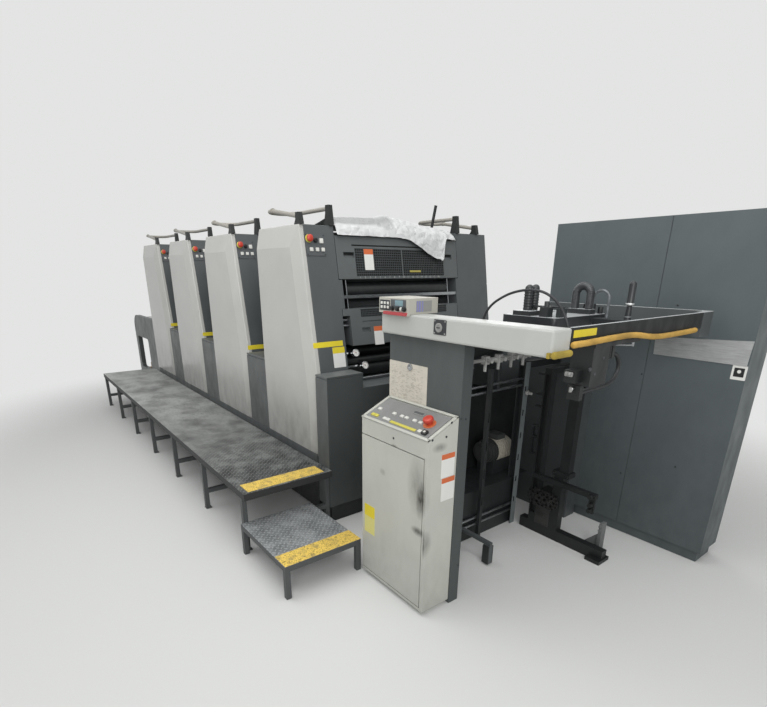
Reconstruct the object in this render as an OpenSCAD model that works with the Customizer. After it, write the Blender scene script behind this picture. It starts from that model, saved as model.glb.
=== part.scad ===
// Offset printing press: four units in a row, sheet feeder, console, cabinet and a low delivery.
// The frame: X runs along the press towards the feeder, Y towards the drive side, Z up from the floor.
// The origin is on the floor under the middle of the unit next to the feeder.

/* [Press units] */
// Distance from one unit to the next
unit_pitch = 1067; // [1020:1:1200]
// Height of a unit
unit_h = 1890; // [1850:1:2050]
// Centre line to the face of the operator cover
op_face = 825; // [800:1:900]
// Centre line to the drive-side face
drive_face = 880; // [820:1:950]
// Half of the width between the two side boxes
guard_half = 550; // [530:1:600]
// Middle of a unit to its back face
unit_back = 360; // [330:1:400]
// Middle of a unit to its front face at the top
front_top = 200; // [160:1:260]
// Middle of a unit to its front face at the foot
front_foot = 380; // [340:1:420]
// Height at which the front face stops sloping
slope_foot = 840; // [780:1:880]
// Height of the bed that carries the units
bed_h = 430; // [415:1:470]
// Thickness of the operator cover
cover_t = 60; // [45:1:80]
// Width of the sloping band along the front edge of the cover
band_w = 95; // [60:1:130]
// Height of the sloping band along the top edge of the cover
band_h = 130; // [90:1:160]
// Depth of that band at the edge
band_d = 28; // [12:1:40]

/* [Guards] */
// From the top of a unit down to the guard's top edge
guard_step = 48; // [42:1:60]
// Height of the upper guard
guard_len = 276; // [262:1:290]
// Height of the roller opening
slot_len = 182; // [166:1:196]
// Height of the lower guard
low_guard_len = 237; // [204:1:264]
// Thickness of a guard panel
guard_t = 20; // [12:1:30]
// Height of the gap under the lower guard
gap_h = 242; // [220:1:260]
// Depth of the roller opening
opening_d = 170; // [160:1:200]
// Solid cheek at each end of the openings
cheek_w = 27; // [20:1:40]
// Radius of the duct roller
duct_r = 62; // [40:1:66]
// Radius of the wash bar
wash_r = 10; // [6:1:14]
// Depth of the gap under the lower guard
gap_d = 260; // [240:1:300]
// Width of the notch beside the lower guard
notch_w = 60; // [45:1:80]
// Depth of that notch
notch_d = 110; // [70:1:150]
// Thickness of the panels on the back of the units
rear_t = 14; // [8:1:20]

/* [Low boxes] */
// Height of the low boxes beside the units
low_box_h = 1004; // [960:1:1040]
// How far the box of the last unit stands out towards the feeder
low_box_out = 140; // [100:1:160]

/* [Handrails] */
// Radius of the handrail tube
rail_r = 13; // [10:1:17]
// Length of a handrail loop
rail_len = 450; // [360:1:520]
// How far a loop lies above the top of the unit
rail_up = 100; // [85:1:115]
// How much its outer tube falls towards the front
rail_fall = 53; // [30:1:60]
// Length of a rail bracket at its foot
bracket_len = 74; // [56:1:90]

/* [Platform and step] */
// Height of the platform
deck_h = 400; // [340:1:410]
// Thickness of the platform plate and its edge
deck_t = 45; // [30:1:60]
// Depth of the platform
deck_w = 605; // [560:1:640]
// How far the platform runs past the middle of the unit next to the feeder
deck_end = 550; // [530:1:560]
// Height of the lower step
step_h = 200; // [170:1:230]
// Length of the lower step along the press
step_len = 568; // [520:1:572]
// Width of the lower step
step_w = 476; // [430:1:520]
// Side of a square leg tube
leg_s = 30; // [20:1:36]
// Thickness of the steel plate of the platform and the step
tread_t = 6; // [4:1:10]

/* [Console] */
// Width of the console
con_w = 494; // [440:1:500]
// Depth of the console
con_d = 183; // [160:1:184]
// Height of the console at the front
con_front_h = 920; // [880:1:960]
// Height of the console at the back
con_back_h = 1002; // [980:1:1050]
// Wall of the console
con_wall = 20; // [12:1:26]
// Height of the head band above the door
con_band = 88; // [70:1:110]
// Gap under the console door
con_foot = 45; // [30:1:60]
// Thickness of the door
door_t = 20; // [14:1:24]
// Clearance around the door
door_gap = 5; // [5:1:8]

/* [Feeder] */
// Place of the feeder column along the press
column_x = 1090; // [1086:1:1094]
// Length of the feeder column along the press
column_len = 509; // [506:1:520]
// Outer face of the feeder column
column_y = 792; // [792:1:800]
// Thickness of the feeder column
column_t = 65; // [62:1:74]
// Height of the feeder column
column_h = 1333; // [1320:1:1340]
// Length of the top beam
beam_len = 970; // [950:1:1000]
// Depth of the top beam
beam_d = 113; // [100:1:120]
// Height of the top beam
beam_h = 100; // [90:1:105]
// Thickness of the end crossbar
bar_t = 15; // [10:1:20]
// Height of the end crossbar
bar_h = 75; // [60:1:90]
// Top of the end crossbar
bar_top = 1435; // [1430:1:1440]
// Height of the beam on the drive side
drive_beam_h = 119; // [105:1:125]
// Centre line to the outer face of the drive-side beam
drive_beam_y = 535; // [525:1:560]
// Width of the end block of the drive-side beam
block_w = 135; // [110:1:160]
// Radius of the foam safety bar
foam_r = 13; // [9:1:16]
// Radius of the tie rods
tie_r = 9; // [6:1:11]
// Height of the front guide post
post_h = 1100; // [1060:1:1140]
// Height of the floor rail
rail_h = 70; // [50:1:90]
// Radius of the motor
motor_r = 85; // [70:1:95]
// Teeth of the sprockets of the pile hoist
teeth = 13; // [11:1:15]
// Pitch of the hoist chain
chain_pitch = 25.4; // [20:0.1:28]
// Diameter of the air hoses
hose_d = 18; // [14:1:22]
// Diameter of the cable over the feeder
cable_d = 10; // [8:1:12]

/* [Cabinet] */
// Length of the electrical cabinet
cab_len = 1196; // [1120:1:1240]
// Depth of the electrical cabinet
cab_d = 225; // [190:1:260]
// Height of the electrical cabinet
cab_h = 1905; // [1850:1:1960]
// Centre line to the face of the cabinet
cab_y = 635; // [620:1:660]
// Height of the cabinet's plinth
plinth_h = 70; // [50:1:100]

/* [Delivery] */
// Length of the delivery
dlv_len = 1540; // [1450:1:1650]
// Height of the delivery
dlv_h = 1000; // [940:1:1020]
// Half of the width over the delivery side frames
dlv_half = 720; // [690:1:760]
// Thickness of a delivery side frame
dlv_t = 60; // [40:1:80]
// Radius of the rounded nose of the delivery
nose_r = 190; // [150:1:220]

/* [Hidden] */
$fn = 48;
slope_a = atan((front_foot - front_top) / (unit_h - slope_foot));
// Front face of a unit at height z, from the middle of the unit
function face_x(z) = z < slope_foot ? front_foot
    : front_top + (front_foot - front_top) * (unit_h - z) / (unit_h - slope_foot);
// Middle of unit n, where unit 4 stands on the origin
function unit_x(n) = (n - 4) * unit_pitch;
kick_h = 30;
kick_d = 60;
toe_h = 60;
toe_d = 50;
groove = 4;
press_back = unit_x(1) - unit_back;
open_half = guard_half - cheek_w;
guard_top = unit_h - guard_step;
guard_low = guard_top - guard_len;
low_guard_top = guard_low - slot_len;
low_guard_foot = low_guard_top - low_guard_len;
mid_box_h = low_guard_foot - gap_h;
eps = 1;
// The guard's thickness measured along X, and how much its square end reaches below its outer edge
guard_x = guard_t / cos(slope_a);
guard_drop = guard_t * tan(slope_a);
kick_z = bed_h - kick_h;
seat = 0.3;

dark = "#4a4e50";
black = "#1c1d1e";
light = "#c9cbc8";
steel = "#a9acad";

// A box from its low corner to its high corner
module span(a, b) translate(a) cube(b - a);

// Puts children on the sloping front face at height z, X pointing out and Z up the slope
module on_front(z) translate([face_x(z), 0, z]) rotate([0, -slope_a, 0]) children();

// Side view of a unit, drawn in X and Z and given its width along Y
module side_view(pts, y0, y1)
    translate([0, y1, 0]) rotate([90, 0, 0]) linear_extrude(y1 - y0) polygon(pts);

module press_bed() color(black) {
    span([press_back, -op_face, toe_h], [front_foot, drive_face, kick_z]);
    span([press_back, -op_face + kick_d, kick_z], [front_foot, drive_face, bed_h]);
    span([press_back + toe_d, -op_face + toe_d, 0], [front_foot - toe_d, drive_face - toe_d, toe_h]);
}

unit_outline = [[-unit_back, bed_h], [front_foot, bed_h], [front_foot, slope_foot],
    [front_top, unit_h], [-unit_back, unit_h]];

// Middle of a unit: set back behind the guard, with the roller opening and the gap below
mid_outline = [[-unit_back, bed_h], [front_foot, bed_h], [front_foot, mid_box_h],
    [face_x(mid_box_h) - gap_d, mid_box_h], [face_x(low_guard_foot) - gap_d, low_guard_foot],
    [face_x(low_guard_foot) - guard_x, low_guard_foot], [face_x(low_guard_top) - guard_x, low_guard_top],
    [face_x(low_guard_top) - opening_d, low_guard_top], [face_x(guard_low) - opening_d, guard_low],
    [face_x(guard_low) - guard_x, guard_low], [face_x(guard_top) - guard_x, guard_top],
    [-unit_back, guard_top]];
// The same without the openings, for the solid cheek on the drive side
cheek_outline = [[-unit_back, bed_h], [front_foot, bed_h], [front_foot, slope_foot],
    [face_x(guard_low), guard_low], [face_x(guard_low) - guard_x, guard_low],
    [face_x(guard_top) - guard_x, guard_top], [-unit_back, guard_top]];
// The operator's cheek is set back behind the lower guard and again in the notch beside it
top_strip = 44;
notch_z = low_guard_top - top_strip;
notch_outline = [[-unit_back, bed_h], [front_foot, bed_h], [front_foot, mid_box_h],
    [face_x(mid_box_h) - notch_d, mid_box_h], [face_x(notch_z) - notch_d, notch_z],
    [face_x(notch_z) - guard_x, notch_z], [face_x(low_guard_top) - guard_x, low_guard_top],
    [face_x(low_guard_top), low_guard_top], [face_x(guard_low), guard_low],
    [face_x(guard_low) - guard_x, guard_low], [face_x(guard_top) - guard_x, guard_top],
    [-unit_back, guard_top]];

// Beside the lower guard the notch reaches into the middle part too
notch_y = -guard_half + notch_w;
inner_notch = [[-unit_back, bed_h], [front_foot, bed_h], [front_foot, mid_box_h],
    [face_x(mid_box_h) - gap_d, mid_box_h], [face_x(low_guard_foot) - gap_d, low_guard_foot],
    [face_x(low_guard_foot) - notch_d, low_guard_foot], [face_x(notch_z) - notch_d, notch_z],
    [face_x(notch_z) - guard_x, notch_z], [face_x(low_guard_top) - guard_x, low_guard_top],
    [face_x(low_guard_top) - opening_d, low_guard_top], [face_x(guard_low) - opening_d, guard_low],
    [face_x(guard_low) - guard_x, guard_low], [face_x(guard_top) - guard_x, guard_top],
    [-unit_back, guard_top]];

// Grooves between the removable panels of the drive side, and the slots of its louvre
louvre_n = 7;
louvre_w = 300;
louvre_z = 560;
module drive_panels() {
    for (z = [1020, 1520]) span([-unit_back + 20, drive_face - groove, z], [front_foot, drive_face + eps, z + groove]);
    span([-30, drive_face - groove, bed_h + 20], [-30 + groove, drive_face + eps, 1520]);
    for (i = [0:louvre_n - 1]) span([20, drive_face - 2 * groove, louvre_z + i * 28],
        [20 + louvre_w, drive_face + eps, louvre_z + i * 28 + 9]);
    for (x = [-unit_back + 150, 150]) span([x, drive_face - 3 * groove, 1420], [x + 110, drive_face + eps, 1446]);
}

module unit_housing(n) color(dark) translate([unit_x(n), 0, 0]) {
    side_view(unit_outline, -op_face + cover_t, -guard_half);
    difference() {
        side_view(unit_outline, guard_half, drive_face);
        drive_panels();
    }
    side_view(mid_outline, notch_y, open_half);
    side_view(inner_notch, -open_half, notch_y);
    side_view(notch_outline, -guard_half, -open_half);
    side_view(cheek_outline, open_half, guard_half);
}

// Flat middle of the cover: the unit's outline less the sloping band along its front and top edges
face_outline = [[-unit_back, bed_h], [front_foot - band_w, bed_h],
    [front_foot - band_w, slope_foot - band_w * tan(slope_a / 2)],
    [face_x(unit_h - band_h) - band_w / cos(slope_a), unit_h - band_h], [-unit_back, unit_h - band_h]];

module unit_cover(n) color(light) translate([unit_x(n), 0, 0]) hull() {
    side_view(unit_outline, -op_face + band_d, -op_face + cover_t);
    side_view(face_outline, -op_face, -op_face + eps);
}

// Grille field and hand recesses of the upper guard, measured down the slope from its top edge
grille_half = 402;
grille_s = [83, 258];
slit_s = [60, 68];
grille_d = 6;
hand_s = [108, 143];
hand_y = [407, 492];
hand_d = 14;

module guard_cut(y0, y1, s0, s1, d) span([-d, y0, -s1], [eps, y1, -s0]);

module unit_guard(n) color(dark) translate([unit_x(n), 0, 0]) {
    upper_len = (guard_top - guard_low) / cos(slope_a) - guard_drop - 2;
    lower_len = (low_guard_top - low_guard_foot) / cos(slope_a);
    on_front(guard_top) difference() {
        span([-guard_t, -guard_half + 4, -upper_len], [0, guard_half - 4, -8]);
        guard_cut(-grille_half - 20, grille_half + 20, slit_s[0], slit_s[1], grille_d);
        guard_cut(-grille_half, -4, grille_s[0], grille_s[1], grille_d);
        guard_cut(4, grille_half, grille_s[0], grille_s[1], grille_d);
        for (side = [-1, 1])
            guard_cut(min(side * hand_y[0], side * hand_y[1]), max(side * hand_y[0], side * hand_y[1]),
                hand_s[0], hand_s[1], hand_d);
    }
    on_front(low_guard_top) difference() {
        span([-guard_t, -guard_half + 4, -lower_len], [0, open_half - 4, 0]);
        span([-guard_t - eps, -guard_half, -lower_len - eps], [eps, notch_y, -top_strip]);
        guard_cut(-grille_half, -4, 5, 57, grille_d);
        guard_cut(4, grille_half, 5, 57, grille_d);
        guard_cut(-grille_half + 10, grille_half - 10, 84, 90, grille_d);
        guard_cut(-grille_half, -grille_half + 70, 128, 158, hand_d);
    }
    rear_panel();
}

// Panel on the back of a unit, with a slit and two hand recesses
rear_z = max(low_box_h, dlv_h) + 30;
module rear_panel() difference() {
    span([-unit_back - rear_t, -guard_half + 4, rear_z], [-unit_back, guard_half - 4, guard_top]);
    span([-unit_back - rear_t - eps, -grille_half, guard_top - 68], [-unit_back - rear_t + grille_d, grille_half, guard_top - 60]);
    for (y = [-hand_y[1], hand_y[0]]) span([-unit_back - rear_t - eps, y, guard_top - 150],
        [-unit_back - 2, y + hand_y[1] - hand_y[0], guard_top - 115]);
    span([-unit_back - rear_t - eps, -guard_half, 1440], [-unit_back - rear_t + groove, guard_half, 1440 + groove]);
}

gap_z = mid_box_h;
// A roller across the opening, r in radius, set back from the front face at height z
module cross_roller(z, back, r, y0 = -open_half, y1 = open_half) translate([face_x(z) - back, y0, z]) rotate([-90, 0, 0])
    cylinder(r = r, h = y1 - y0);

// The steel strip under the opening, the two plates at its ends, the pins in the notch and the rod below
strip_z = low_guard_top + 76;
side_y = [-488, 444];
side_d = 160;
side_t = 6;
side_in = wash_r + 10;
module wash_bars() color(steel) for (n = [1:4]) translate([unit_x(n), 0, 0]) {
    span([face_x(strip_z) - wash_r - 6, -open_half, strip_z - wash_r], [face_x(strip_z) - 6, open_half, strip_z + wash_r]);
    for (y = side_y) side_view([[face_x(low_guard_top) - side_d, low_guard_top], [face_x(low_guard_top) - side_in, low_guard_top],
        [face_x(guard_low) - side_in, guard_low], [face_x(guard_low) - side_d, guard_low]], y, y + side_t);
    for (z = [notch_z - 28, notch_z - 64]) translate([face_x(z) - 34, -guard_half, z]) rotate([-90, 0, 0])
        cylinder(r = 9, h = cheek_w + 30);
    cross_roller(gap_z + 17, 30, 8);
}

// The duct roller between its end plates, and the rollers across the gap under the lower guard
module rollers() color(black) for (n = [1:4]) translate([unit_x(n), 0, 0]) {
    cross_roller(guard_low - duct_r - 14, duct_r + 30, duct_r, side_y[0] + side_t, side_y[1]);
    cross_roller(gap_z + 60, 150, 55);
    cross_roller(gap_z + 130, 90, 26);
    cross_roller(gap_z + 175, 190, 40);
}

// Two gauges beside the notch: each on a bar whose foot is screwed to the back of the notch
gauge_r = 26;
gauge_at = [[-466, 187], [-400, 98]];
bar_back = 70;
bar_front = 58;
foot_y0 = -guard_half + 5;
foot_y1 = foot_y0 + 12;
module dial_gauges() color("silver") for (g = gauge_at) {
    z = gap_z + g[1];
    translate([face_x(z) - 40, g[0], z]) rotate([0, 75, 0]) {
        cylinder(r = gauge_r, h = 22);
        translate([0, 0, -20]) cylinder(r = 8, h = 24);
    }
    side_view([[face_x(z - 6) - bar_back, z - 6], [face_x(z - 6) - bar_front, z - 6], [face_x(z + 6) - bar_front, z + 6],
        [face_x(z + 6) - bar_back, z + 6]], foot_y0, g[0] + 6);
    side_view([[face_x(z - 6) - notch_d, z - 6], [face_x(z - 6) - bar_front, z - 6], [face_x(z + 6) - bar_front, z + 6],
        [face_x(z + 6) - notch_d, z + 6]], foot_y0, foot_y1);
}

// A row of three boxes across the press, the outer two higher, the operator's with a lid over a shadow gap
lid_t = 14;
lid_gap = 4;
lid_in = 6;
module box_row(x0, x1, z0) {
    span([x0, -op_face, z0], [x1, -guard_half, low_box_h - lid_t - lid_gap]);
    span([x0, -op_face + lid_in, low_box_h - lid_t - lid_gap], [x1 - lid_in, -guard_half, low_box_h - lid_t]);
    span([x0, -op_face, low_box_h - lid_t], [x1, -guard_half, low_box_h]);
    span([x0, -guard_half, z0], [x1, guard_half, mid_box_h]);
    span([x0, guard_half, z0], [x1, drive_face, low_box_h]);
}

module low_boxes() color(dark) {
    for (n = [1:3]) box_row(unit_x(n) + front_foot, unit_x(n + 1) - unit_back, bed_h);
    box_row(front_foot, front_foot + low_box_out, toe_h * 2);
    span([front_foot, -op_face + 20, 0], [front_foot + low_box_out - 20, drive_face - 50, toe_h * 2]);
}

// A handrail loop: the inner tube lies level, the outer one falls from a sleeve at the bend to its bracket
loop_out = -op_face + 45;
loop_in = -guard_half - 15;
rail_front = 160;
rail_high = unit_h + rail_up;
rail_low = rail_high - rail_fall;
module rail_loop() {
    half = (loop_in - loop_out) / 2;
    run = rail_len - half;
    stub = 10;
    fall_run = run - stub - 3;
    fall_a = atan(rail_fall / fall_run);
    translate([rail_front - run, loop_in, rail_high]) rotate([0, 90, 0]) cylinder(r = rail_r, h = run);
    translate([rail_front - run, loop_in - half, rail_high]) rotate([0, 0, 90]) rotate_extrude(angle = 180)
        translate([half, 0]) circle(r = rail_r);
    translate([rail_front - run, loop_out, rail_high]) rotate([0, 90, 0]) cylinder(r = rail_r, h = stub);
    translate([rail_front - run + 4, loop_out, rail_high]) rotate([0, 90, 0]) cylinder(r = rail_r + 3, h = 22);
    // The falling end is cut square where it meets its bracket
    intersection() {
        translate([rail_front - fall_run, loop_out, rail_high]) rotate([0, 90 + fall_a, 0])
            cylinder(r = rail_r, h = fall_run / cos(fall_a) + rail_r);
        span([rail_front - rail_len, loop_out - rail_len, rail_low - rail_len],
            [rail_front, loop_out + rail_len, rail_high + rail_len]);
    }
}

module handrails() color("#8d9192") for (n = [1:4], s = [0, 1])
    translate([unit_x(n), 0, 0]) mirror([0, s, 0]) rail_loop();

// A bracket tapers from its foot to the tube's end
module rail_bracket(y, z, w) side_view([[rail_front - bracket_len / 4, unit_h], [rail_front + bracket_len * 0.75, unit_h],
    [rail_front + bracket_len / 2, z + rail_r + 7], [rail_front, z + rail_r + 7], [rail_front, z - rail_r - 7]],
    y - w / 2, y + w / 2);
module rail_brackets() for (n = [1:4], s = [0, 1]) translate([unit_x(n), 0, 0]) mirror([0, s, 0]) {
    rail_bracket(loop_in, rail_high, 30);
    rail_bracket(loop_out, rail_low, 30);
}

strip_h = 9;
module top_strips() for (n = [1:4]) translate([unit_x(n), 0, 0])
    span([face_x(guard_top) - 40, -guard_half, guard_top], [face_x(guard_top) + 6, guard_half, guard_top + strip_h]);

// A plate with the stop button, a key knob and white push buttons, on the front of each side box
plate_c = 695;
plate_w = 140;
plate_l = 130;
plate_top = unit_h - 52;
module control_plates() color("#55595b") for (n = [1:4]) translate([unit_x(n), 0, 0]) on_front(plate_top)
    translate([0, -plate_c, 0]) {
        span([0, -plate_w / 2, -plate_l], [4, plate_w / 2, 0]);
        translate([4, -45, -30]) rotate([0, 90, 0]) cylinder(r = 9, h = 14);
        translate([18, -45, -30]) rotate([0, 90, 0]) cylinder(r = 19, h = 10);
        translate([4, 0, -40]) rotate([0, 90, 0]) cylinder(r = 12, h = 14);
        span([4, 30, -55], [12, 52, -30]);
        for (y = [-45, -3, 38]) span([4, y, -104], [11, y + 20, -84]);
    }

// A leaning lever on the last unit, beside the dust sheet
lever_a = 14;
module lever() translate([20, 450, guard_top]) intersection() {
    rotate([0, lever_a, 0]) translate([0, 0, -20]) cylinder(r = 11, h = 270);
    translate([-150, -50, 0]) cube([300, 100, 400]);
}

module top_fittings() color(black) {
    rail_brackets();
    top_strips();
    lever();
}

// A loose sheet over the middle of the last unit, higher at its fold, one corner hanging down the guard
sheet_z = guard_top + strip_h + seat;
sheet_back = -220;
sheet_front = face_x(guard_top) + 26;
// Folds across the sheet: y, how far back it reaches, the ridge's X and height, the front crease's height
sheet_folds = [[-535, sheet_back, 110, 99, 46], [-171, sheet_back, 110, 112, 49], [-88, sheet_back, 120, 134, 54],
    [148, sheet_back, 120, 104, 40], [327, sheet_back, 130, 74, 34], [420, 62, 140, 69, 30],
    [516, 62, 140, 57, 24], [530, 72, 150, 14, 10]];
module sheet_fold(f) side_view([[f[1], sheet_z], [sheet_front - 8, sheet_z], [sheet_front - 30, sheet_z + f[4]],
    [f[2], sheet_z + f[3]], [f[1], sheet_z + f[3] / 3]], f[0], f[0] + eps);
module dust_sheet() color("white") {
    for (i = [0:len(sheet_folds) - 2]) hull() {
        sheet_fold(sheet_folds[i]);
        sheet_fold(sheet_folds[i + 1]);
    }
    on_front(guard_top) translate([9, 0, 0]) rotate([90, 0, 90]) linear_extrude(9)
        polygon([[-63, 14], [-19, -2], [78, -15], [180, -70], [377, -168], [411, -78], [400, -20], [392, 14]]);
}

// A plate on an edge frame, with bearers under it every half metre or so
module plate_frame(a, b, t, bearers) difference() {
    span([a[0], a[1], b[2] - t], b);
    bay = (b[0] - a[0] - edge_t) / bearers;
    for (i = [0:bearers - 1]) span([a[0] + edge_t + i * bay, a[1] + edge_t, b[2] - t - eps],
        [a[0] + (i + 1) * bay, b[1] - edge_t, b[2] - tread_t]);
}
edge_t = 12;
deck_x0 = press_back - 250;
module platform_deck() color("#6f7071")
    plate_frame([deck_x0, -op_face - deck_w], [deck_end, -op_face, deck_h], deck_t, 9);

deck_legs = 7;
module platform_legs() color("#5a5c5d") {
    x0 = deck_x0 + 50;
    x1 = deck_end - 70;
    y0 = -op_face - deck_w;
    y1 = -op_face - leg_s;
    for (i = [0:deck_legs - 1], y = [y0, y1])
        translate([x0 + (x1 - x0) * i / (deck_legs - 1), y, 0]) {
            cube([leg_s, leg_s, deck_h - deck_t]);
            translate([-12, y == y0 ? 0 : -12, 0]) cube([leg_s + 12, leg_s + 12, tread_t]);
        }
    for (i = [0:deck_legs - 1]) translate([x0 + (x1 - x0) * i / (deck_legs - 1), 0, 0])
        span([0, y0 + leg_s, 120], [leg_s, y1, 120 + leg_s]);
}

// The step stands against the end legs of the platform
step_x = deck_end - 70 + leg_s;
step_y = -op_face - 149;
step_t = 36;
module lower_step() color("#777879") {
    plate_frame([step_x, step_y - step_w], [step_x + step_len, step_y, step_h], step_t, 2);
    for (x = [step_x, step_x + step_len - leg_s], y = [step_y - step_w, step_y - leg_s])
        translate([x, y, 0]) cube([leg_s, leg_s, step_h - step_t]);
}

con_x = column_x + 10;
con_back = -column_y - 2;
con_face = con_back - con_d;
panel_t = 8;
door_h0 = con_foot;
door_h1 = con_front_h - con_band;
con_outline = [[con_face, 25], [con_back, 25], [con_back, con_back_h], [con_face, con_front_h]];

// The door turns on two pins, half its thickness in from its left edge
pin_x = con_x + door_t / 2;
pin_y = con_face + door_t / 2;
pin_r = 5;
pin_in = 12;
pin_clear = 0.05;

// Side view of the console, drawn in Y and Z and given its width along X
module console_view(pts, x0, x1) translate([x0, 0, 0]) rotate([90, 0, 90]) linear_extrude(x1 - x0) polygon(pts);

module console_body() color(light) {
    difference() {
        console_view(con_outline, con_x, con_x + con_w);
        span([con_x + con_wall, con_face - eps, door_h0 + con_wall],
            [con_x + con_w - con_wall, con_back - con_wall, door_h1 - con_wall]);
        span([con_x - eps, con_face - eps, door_h0 - door_gap],
            [con_x + con_w - con_wall, con_face + door_t + 2 * door_gap, door_h1 + door_gap]);
    }
    for (z = [door_h0 - door_gap, door_h1 - pin_in]) translate([pin_x, pin_y, z])
        cylinder(r = pin_r, h = pin_in + door_gap);
    span([con_x + 20, con_face + 40, 0], [con_x + con_w - 20, con_back, 25]);
    span([con_x + con_w / 2 - 150, con_back, 300], [con_x + con_w / 2 + 150, con_back + 2, 700]);
}

// The door closes flush with the front
module console_door() color(light) difference() {
    span([con_x, con_face, door_h0], [con_x + con_w - con_wall - door_gap, con_face + door_t, door_h1]);
    for (z = [door_h0 - eps, door_h1 - pin_in - eps]) translate([pin_x, pin_y, z])
        cylinder(r = pin_r + pin_clear, h = pin_in + 2 * eps);
}

// Controls on the sloping top, each row measured up the slope from the console's front edge
key_w = 20;
key_h = 14;
key_t = 5;
low_keys = [49, 76, 141, 166, 396];
high_keys = [45, 159, 217, 251, 308, 350];
panel_edge = 22;
module console_panel() color("#5d6064") {
    tilt = atan((con_back_h - con_front_h) / con_d);
    len = con_d / cos(tilt);
    translate([con_x, con_face, con_front_h]) rotate([tilt, 0, 0]) {
        span([panel_edge, panel_edge - 8, 0], [con_w - panel_edge, len - panel_edge, panel_t]);
        for (u = low_keys) span([u, 29, panel_t], [u + key_w, 29 + key_h, panel_t + key_t]);
        for (u = high_keys) span([u, 79, panel_t], [u + key_w, 79 + key_h, panel_t + key_t]);
        span([199, 25, panel_t], [378, 38, panel_t + 2]);
        span([259, 128, panel_t], [332, 150, panel_t + 3]);
        span([424, 26, panel_t], [450, 48, panel_t + 9]);
        translate([407, 98, panel_t]) cylinder(r = 13, h = 20);
        translate([407, 98, panel_t + 20]) cylinder(r = 24, h = 9);
        translate([407, 98, panel_t + 29]) cylinder(r = 21, h = 6);
    }
}

column_in = -column_y + column_t;
module feeder_column() color(dark) span([column_x, -column_y, 0], [column_x + column_len, column_in, column_h]);

beam_x = column_x - 10;
beam_end = beam_x + beam_len;
gland = 24;
gland_x = [1612, 2020];
gland_y = column_in + 20;
gland_z = [1380, 1400];
module feeder_top_beam() color(light) {
    span([beam_x, column_in - beam_d, column_h], [beam_end, column_in, column_h + beam_h]);
    span([gland_x[0] - gland / 2, column_in, gland_z[0] - gland], [gland_x[0] + gland / 2, gland_y + gland / 2, gland_z[0]]);
}

bar_x = beam_end - bar_t;
block_y = drive_beam_y - block_w;
bar_z = bar_top - bar_h;
beam_z = bar_top - drive_beam_h;
// The crossbar is a channel, open towards the pile, with the cable's second gland in it
bar_web = 5;
module feeder_crossbar() color(dark) {
    difference() {
        span([bar_x, column_in, bar_z], [beam_end, block_y, bar_z + bar_h]);
        span([bar_x - eps, column_in + bar_web, bar_z + bar_web], [beam_end - bar_web, block_y - bar_web, bar_z + bar_h - bar_web]);
    }
    span([gland_x[1] - gland / 2, gland_y - gland / 2, gland_z[1] - gland],
        [beam_end - bar_web, gland_y + gland / 2, gland_z[1]]);
}

// The drive side of the feeder: a wall from the last unit to the rear upright, the beam and its end block
wall_top = 1250;
upright_len = 330;
block_r = 25;
module feeder_drive_frame() color(dark) {
    span([base_x, drive_beam_y - bar_t, 0], [column_x, drive_beam_y, wall_top]);
    span([column_x, drive_beam_y - bar_t, 0], [column_x + upright_len, cab_y, beam_z]);
    span([column_x, drive_beam_y - bar_t, beam_z], [bar_x, drive_beam_y, bar_top]);
    translate([0, 0, beam_z]) linear_extrude(drive_beam_h) {
        translate([bar_x - 20, block_y]) square([beam_end - block_r - bar_x + 20, block_w]);
        translate([bar_x - 20, block_y]) square([beam_end - bar_x + 20, block_w - block_r]);
        translate([beam_end - block_r, drive_beam_y - block_r]) circle(r = block_r);
    }
}

// Foam tube in front of the crossbar, a little lower at its far end, and a foam pad round the end of the top beam
foam_y = [-738, 305];
foam_z = [1379, 1356];
pad_z = column_h + 14;
pad_side = 12;
module safety_bar() color("#d9a53a") {
    run = foam_y[1] - foam_y[0];
    dip = atan((foam_z[0] - foam_z[1]) / run);
    translate([beam_end + foam_r, foam_y[0], foam_z[0]]) rotate([-90 - dip, 0, 0]) cylinder(r = foam_r, h = run / cos(dip));
    span([beam_end - pad_side, column_in - beam_d - foam_r, pad_z - foam_r], [beam_end, column_in - beam_d, pad_z + foam_r]);
    span([beam_end, column_in - beam_d - foam_r, pad_z - foam_r], [beam_end + 2 * foam_r, foam_y[0] - 4, pad_z + foam_r]);
}

base_x = front_foot + low_box_out;
base_h = 850;
base_end = 940;
base_y0 = -330;
base_y1 = 520;
module feeder_base() color(black) span([base_x, base_y0, 0], [base_end, base_y1, base_h]);

table_x = 1365;
table_end = 1680;
table_z = 1355;
table_t = 60;
board_low = 640;
board_low_z = 1010;
board_t = 40;
// Underside of the feed board at x
function board_z(x) = board_low_z + (x - board_low) * (table_z - board_t - board_low_z) / (table_x - board_low);
module feed_board() color("#33373a") {
    side_view([[board_low, board_z(board_low)], [table_x, board_z(table_x)], [table_x, board_z(table_x) + board_t],
        [board_low, board_z(board_low) + board_t]], -420, 380);
    for (y = [-300, 300]) side_view([[board_low + 60, base_h], [base_end - 20, base_h],
        [base_end - 20, board_z(base_end - 20)], [board_low + 60, board_z(board_low + 60)]], y, y + 30);
}

panel_x = 1200;
panel_h = 330;
panel_plate = 15;
post_y = 150;
post_d = 45;
post_cut = 30;
module front_shelf() {
    span([panel_x, column_in, 0], [panel_x + panel_plate, post_y + post_cut, panel_h]);
    span([base_end, column_in + 60, panel_h - 12], [panel_x, 340, panel_h]);
    // The motor's cradle, hollowed to its barrel
    difference() {
        span([motor_x - 70, motor_y + 22, panel_h], [motor_x + 70, motor_y + motor_len - 20, panel_h + cradle_h + 34]);
        translate([motor_x, motor_y, motor_z]) rotate([-90, 0, 0]) cylinder(r = motor_r + seat, h = motor_len);
    }
}

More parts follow.
